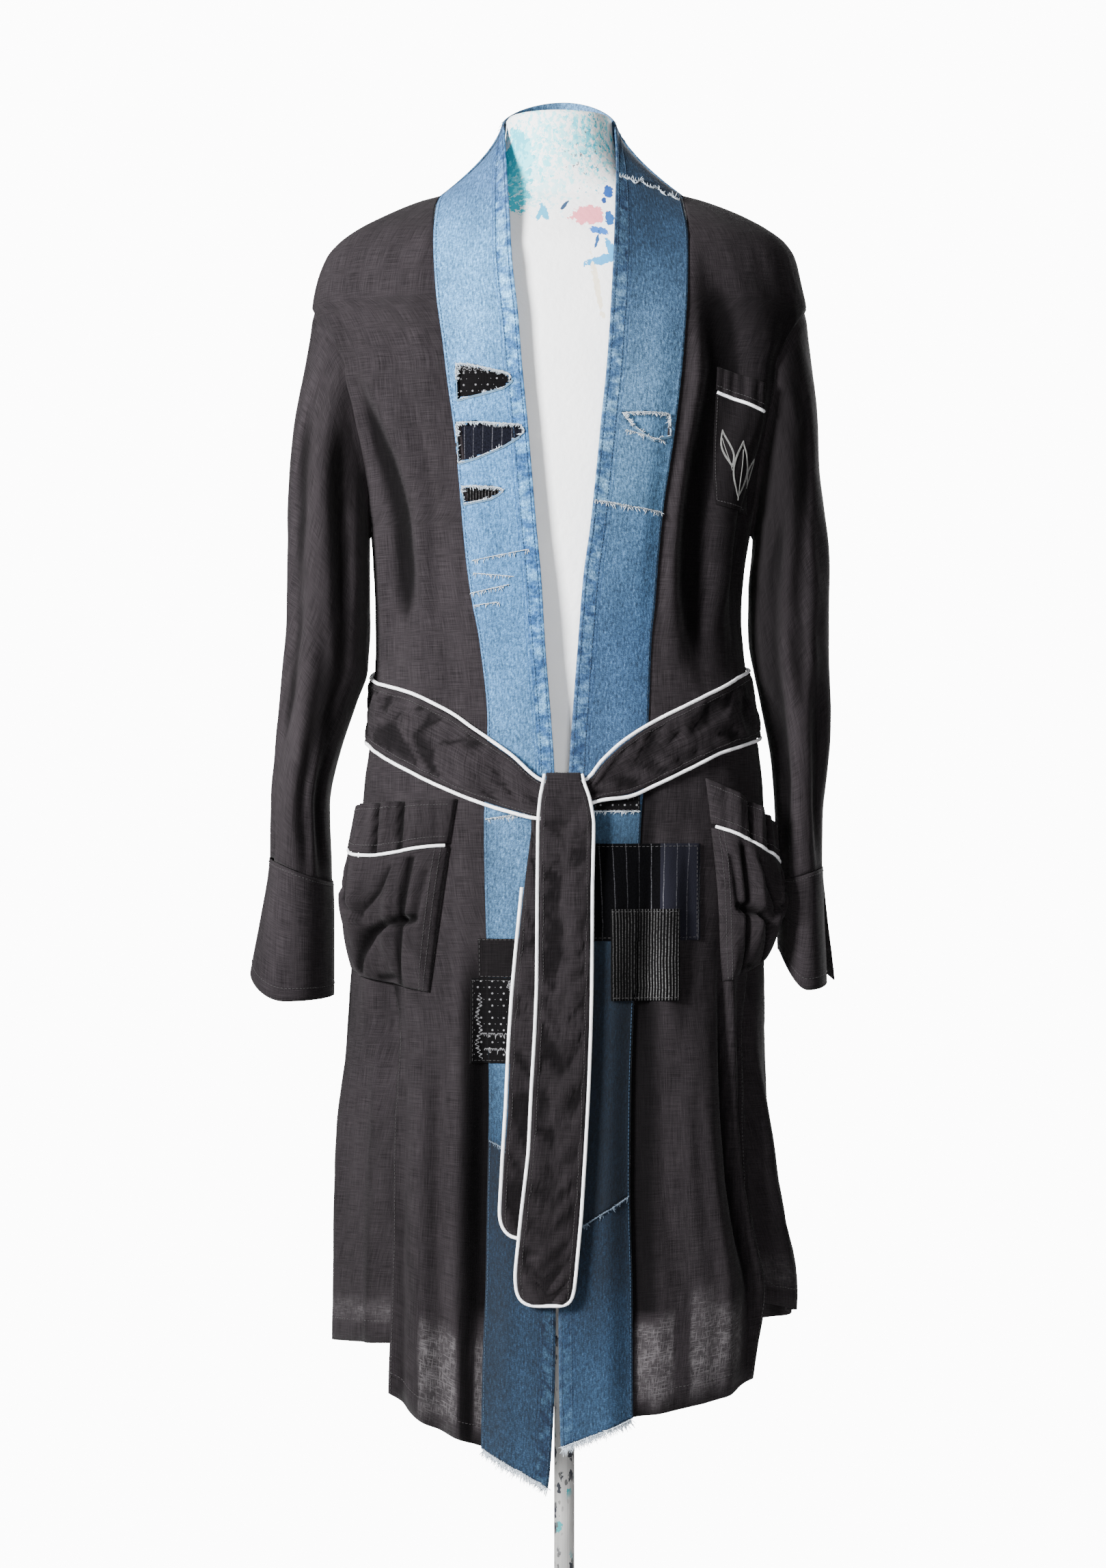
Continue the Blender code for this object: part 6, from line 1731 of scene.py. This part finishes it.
def make_pockets():
    sewn = []
    for side in SIDES:
        bag, band = partial(hip_bag, side), partial(hip_band, side)
        cloth("hip_pocket_" + side, 60, 60, bag, material=SHADED_POCKET_LINEN,
              painted_light_and_shade=partial(pocket_shade, pocket_crease, side))
        cloth("hip_pocket_band_" + side, 60, 16, band, 1.2 * MM, SHADED_POCKET_LINEN,
              painted_light_and_shade=partial(pocket_shade, pocket_gather, side))
        pocket_piping("hip_pocket_piping_" + side, band, bag, 48)
        for across in (0.04, 0.07):
            sewn += sewn_on(bag, upright_cells(outwards(side, across), 0.0, 1.0, 60))
        for down in (0.12, 0.85):
            sewn += sewn_on(band, level_cells(0.03, 0.97, 60, down), 0.0007)
    # Painted shade: the chest pocket's bag darkened all over, most at its inner edge, and its band darkened in
    # stripes along its gathers.
    cloth("chest_pocket", 36, 50, chest_bag, material=SHADED_POCKET_LINEN,
          painted_light_and_shade=lambda across, down: -blend(0.85, 0.6, across))
    cloth("chest_pocket_band", 36, 14, chest_band, 1.2 * MM, SHADED_POCKET_LINEN,
          painted_light_and_shade=lambda across, down: -0.55 - 0.25 * math.sin(9.0 * math.pi * across))
    pocket_piping("chest_pocket_piping", chest_band, chest_bag, 30)
    sewn += sewn_on(chest_bag, upright_cells(0.04, 0.0, 0.95, 57) + level_cells(0.04, 0.94, 30, 0.96))
    sewn += sewn_on(chest_band, level_cells(0.04, 0.96, 30, 0.82), 0.0007)
    threads("pocket_stitches", sewn, 0.0003, BLACK_THREAD)
    threads("leaf_embroidery", leaf_motif(chest_bag), 0.00045, GREY_THREAD)


def leaf_motif(place):
    """A plain sprig of three leaves, sewn in outline."""
    lines = []
    for middle, low, tip, size, lean in (
            (0.42, 0.88, 0.34, 0.17, 0.1), (0.66, 0.74, 0.46, 0.11, 0.14), (0.3, 0.62, 0.3, 0.1, -0.12)):
        for offset, way in itertools.product((0.0, 0.018), (-1.0, 1.0)):
            cells = []
            for share in steps(0.0, 1.0, 24):
                bow = (size - offset) * math.sin(math.pi * share) * (1.0 - 0.25 * share)
                cells.append((middle + lean * share + way * bow, blend(low - offset, tip + offset, share)))
            lines.append(drawn_on(place, cells, 0.0008))
        stem = [(middle + lean * share, blend(low + 0.03, tip + 0.08, share)) for share in steps(0.0, 1.0, 20)]
        lines.append(drawn_on(place, stem, 0.0008))
    return lines


def pucker(along, share):
    """Short sharp creases at both edges of the belt and soft folds between them."""
    total = 0.0
    for edge in (0.0, 1.0):
        off = abs(share - edge)
        spot = along * 62.0 + 3.0 * off + edge * 7.3, edge * 5.0 + off * 1.5, along * 13.0
        wave = noise.noise(Vector(spot))
        near = ease(off, 0.62, 0.25) * ease(off, 0.03, 0.12)
        total += (0.004 * wave - 0.002 * ease(abs(wave + 0.12), 0.1, 0.0)) * near
    broad = noise.noise(Vector((along * 26.0, share * 2.2, 9.0)))
    return total + 0.0034 * broad * math.sin(math.pi * share) ** 0.5


def flattened(relief):
    """Relief of the belt that stays off the cloth below it."""
    return relief if relief > 0.0 else -0.0013 * math.tanh(-relief / 0.0013)


def crease_shade(relief):
    """How dark a crease's bottom is, below 0."""
    return -0.8 * ease(-relief, 0.0002, 0.0019)


def waist_point(across, down):
    return belt_point(blend(-180.0, 180.0, across), down, flattened(pucker(across * 1.05, down)))


def tail_pucker(path, front, down, across):
    """Spot of a tail's path, its creases and how much of them shows: none in the fold of the knot."""
    before, after, part = between(path, down)
    spot = tuple(blend(a, b, part) for a, b in zip(before, after))
    shown = ease(path.index(before), 8, 11) if front else 1.0
    return spot, pucker(spot[1] + (0.0 if front else 3.0), across), shown


def tail_place(path, edges, front, across, down):
    spot, relief, shown = tail_pucker(path, front, down, across)
    point = tail_point(edges, spot, across)
    point.y -= flattened(relief) * shown
    return point


def tail_shade(path, front, across, down):
    _, relief, shown = tail_pucker(path, front, down, across)
    return crease_shade(relief) * shown


def make_belt():
    """The waist belt with its piping, and the two tails."""
    cloth("belt_waist", 288, 20, waist_point, 2.2 * MM, SHADED_BELT_LINEN, closed=True,
          painted_light_and_shade=lambda across, down: crease_shade(pucker(across * 1.05, down)))
    for name, share in (("belt_piping_top", 0), ("belt_piping_bottom", 1)):
        line = [belt_edge(blend(-180.0, 180.0, index / 288.0), share) for index in range(288)]
        cord_piece(name, line, 0.9 * PIPING_RADIUS, True)
    sewn = []
    for down in (0.07, 0.93):
        sewn += sewn_on(waist_point, level_cells(0.0, 1.0, 400, down), 0.0012, 0.0032, 0.0022)
    for name, table, front in (("belt_tail_front", TAIL_FRONT, True), ("belt_tail_rear", TAIL_REAR, False)):
        path, edges = tail_path(front), column_curves(table)
        place = partial(tail_place, path, edges, front)
        cloth(name, 24, (len(path) - 1) * 8, place, wall=2.2 * MM, material=SHADED_BELT_LINEN,
              painted_light_and_shade=partial(tail_shade, path, front))
        corded = path[6 if front else 3:]
        line = [tail_point(edges, spot, 0.0) for spot in corded]
        line += [tail_point(edges, path[-1], column / 12.0) for column in range(1, 12)]
        line += [tail_point(edges, spot, 1.0) for spot in reversed(corded)]
        cord_piece(name + "_piping", smoothed(beside(line, PIPING_RADIUS + LAYER_GAP)), 0.88 * PIPING_RADIUS)
        start = (9 if front else 3) / (len(path) - 1)
        for across in (0.07, 0.93):
            sewn += sewn_on(place, upright_cells(across, start, 0.985, 260), 0.0012, 0.0032, 0.0022)
    threads("belt_stitches", sewn, 0.00028, BLACK_THREAD)


def smoothed(points):
    """A line of points cut finer and rounded."""
    fine = resampled(points, 0.004)
    if (fine[-1] - points[-1]).length > 1e-5:
        fine.append(points[-1])
    for _ in range(2):
        fine = [fine[0]] + [(a + b * 2.0 + c) / 4.0 for a, b, c in zip(fine, fine[1:], fine[2:])] + [fine[-1]]
    return fine


def hem_line(place, count):
    """Cells along a hem, 17 mm above it."""
    cells = []
    for across in steps(0.0, 1.0, count):
        low = place(across, 1.0).z
        down = 1.0
        while down > 0.8 and place(across, down).z < low + 0.017:
            down -= 0.002
        cells.append((across, down))
    return cells


def level_of(height):
    """Share of the rows at which a height lies."""
    for index, (above, below) in enumerate(zip(BODY_ROWS, BODY_ROWS[1:])):
        if below <= height <= above:
            return (index + (above - height) / (above - below)) / (len(BODY_ROWS) - 1)


def cuff_spots(place, cells):
    """Points just outside a cuff, moved away from its middle."""
    middle = sum((place(step / 8.0, 0.5) for step in range(8)), Vector()) / 8.0
    found = []
    for point in itertools.starmap(place, cells):
        normal = Vector((point.x - middle.x, (point.y - middle.y) * 0.4, 0.0)).normalized()
        found.append((point + normal * 0.0007, normal))
    return found


def make_hem_stitches():
    """Stitch lines of the hems, cuffs and panel edges."""
    sewn = []
    sizes = (0.0036, 0.0022)
    for side in SIDES:
        place = partial(fine_front, side)
        vent = upright_cells(outwards(side, 0.98), level_of(VENT_TOP - 0.06), 1.0, 90)
        sewn += sewn_on(place, hem_line(place, 80), 0.0006, *sizes) + sewn_on(place, vent, 0.0006, *sizes)
        for down in (0.9, 0.03):
            sewn += stitches(cuff_spots(partial(fine_cuff, side), level_cells(0.0, 1.0, 80, down)), *sizes)
    sewn += sewn_on(fine_back, hem_line(fine_back, 160), 0.0006, *sizes)
    threads("hem_stitches", sewn, 0.0003, BLACK_THREAD)


def make_stage():
    """Pale floor, a strong soft light from the wearer's right, a white backdrop and the photo's camera."""
    scene = bpy.context.scene
    bpy.ops.object.select_all(action="DESELECT")
    bpy.ops.mesh.primitive_cylinder_add(vertices=96, radius=0.9, depth=0.01, location=(0.0, 0.0, -0.0051))
    floor = bpy.context.object
    floor.name = "studio_floor"
    look = Look("pale_floor", 0.9, 0.0, 0.1)
    look.inputs["Base Color"].default_value = (0.8, 0.8, 0.8, 1.0)
    floor.data.materials.append(look.material)
    floor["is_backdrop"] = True
    world = bpy.data.worlds.new("studio")
    world.use_nodes = True
    scene.world = world
    sky = Nodes(world.node_tree)
    way = sky.coordinate("Generated")
    sideways = sky.under(sky.value("ABSOLUTE", sky.part("X", way)), 0.175)
    level = sky.under(sky.value("ABSOLUTE", sky.part("Z", way)), 0.245)
    backdrop = sky.times(sky.times(sideways, level), sky.value("GREATER_THAN", sky.part("Y", way), 0.0))
    strength = sky.add("MapRange", {"Value": backdrop, "To Min": 0.1, "To Max": 12.0})
    background = world.node_tree.nodes["Background"].inputs
    sky.tree.links.new(strength, background["Strength"])
    background["Color"].default_value = (1.0, 1.0, 1.0, 1.0)
    for name, spot, aim, size, power in (
            ("key", (-2.7, -2.5, 2.1), 0.95, 1.0, 700.0), ("front_fill", (0.3, -3.7, 1.35), 1.1, 1.2, 84.0),
            ("rear_fill", (1.6, 2.8, 1.9), 1.0, 1.6, 160.0)):
        data = bpy.data.lights.new(name, "AREA")
        data.energy, data.size = power, size
        lamp = bpy.data.objects.new(name, data)
        lamp.location = spot
        lamp.rotation_euler = (Vector((0.0, 0.0, aim)) - Vector(spot)).to_track_quat("-Z", "Y").to_euler()
        scene.collection.objects.link(lamp)
    data = bpy.data.cameras.new("camera")
    data.sensor_fit, data.sensor_height, data.lens = "VERTICAL", 36.0, 77.2
    camera = bpy.data.objects.new("camera", data)
    camera.location = (-0.0107, -3.2, 0.9708)
    camera.rotation_euler = (math.radians(90.0), 0.0, 0.0)
    scene.collection.objects.link(camera)
    scene.camera = camera


replace_form()
make_body()
make_bands()
make_patches()
make_pockets()
make_belt()
make_hem_stitches()
POLE_PAINT = even_material(
    "spattered_pole", (0.38, 0.0, 0.5, 0.35), (0.24, 0.24, 0.235), (0.36, 0.355, 0.345), (60.0, 60.0, 12.0),
    3.0, (300.0, 300.0, 60.0), 3.0, 0.0002, painted=pole_paint)
BASE_PAINT = even_material(
    "grey_base_paint", (0.42, 0.0, 0.5, 0.35), (0.48, 0.48, 0.475), (0.6, 0.6, 0.59), (14.0,) * 3, 5.0,
    (500.0,) * 3, 3.0, 0.0002)
for node_name, look in (("stand_pole", POLE_PAINT), ("stand_base", BASE_PAINT)):
    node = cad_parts[node_name]
    node.data.materials.clear()
    node.data.materials.append(look)
make_stage()

sizes = {"cad_box": cad_box, "visual_box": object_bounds()}
sizes = {name: [list(corner) for corner in box] for name, box in sizes.items()}
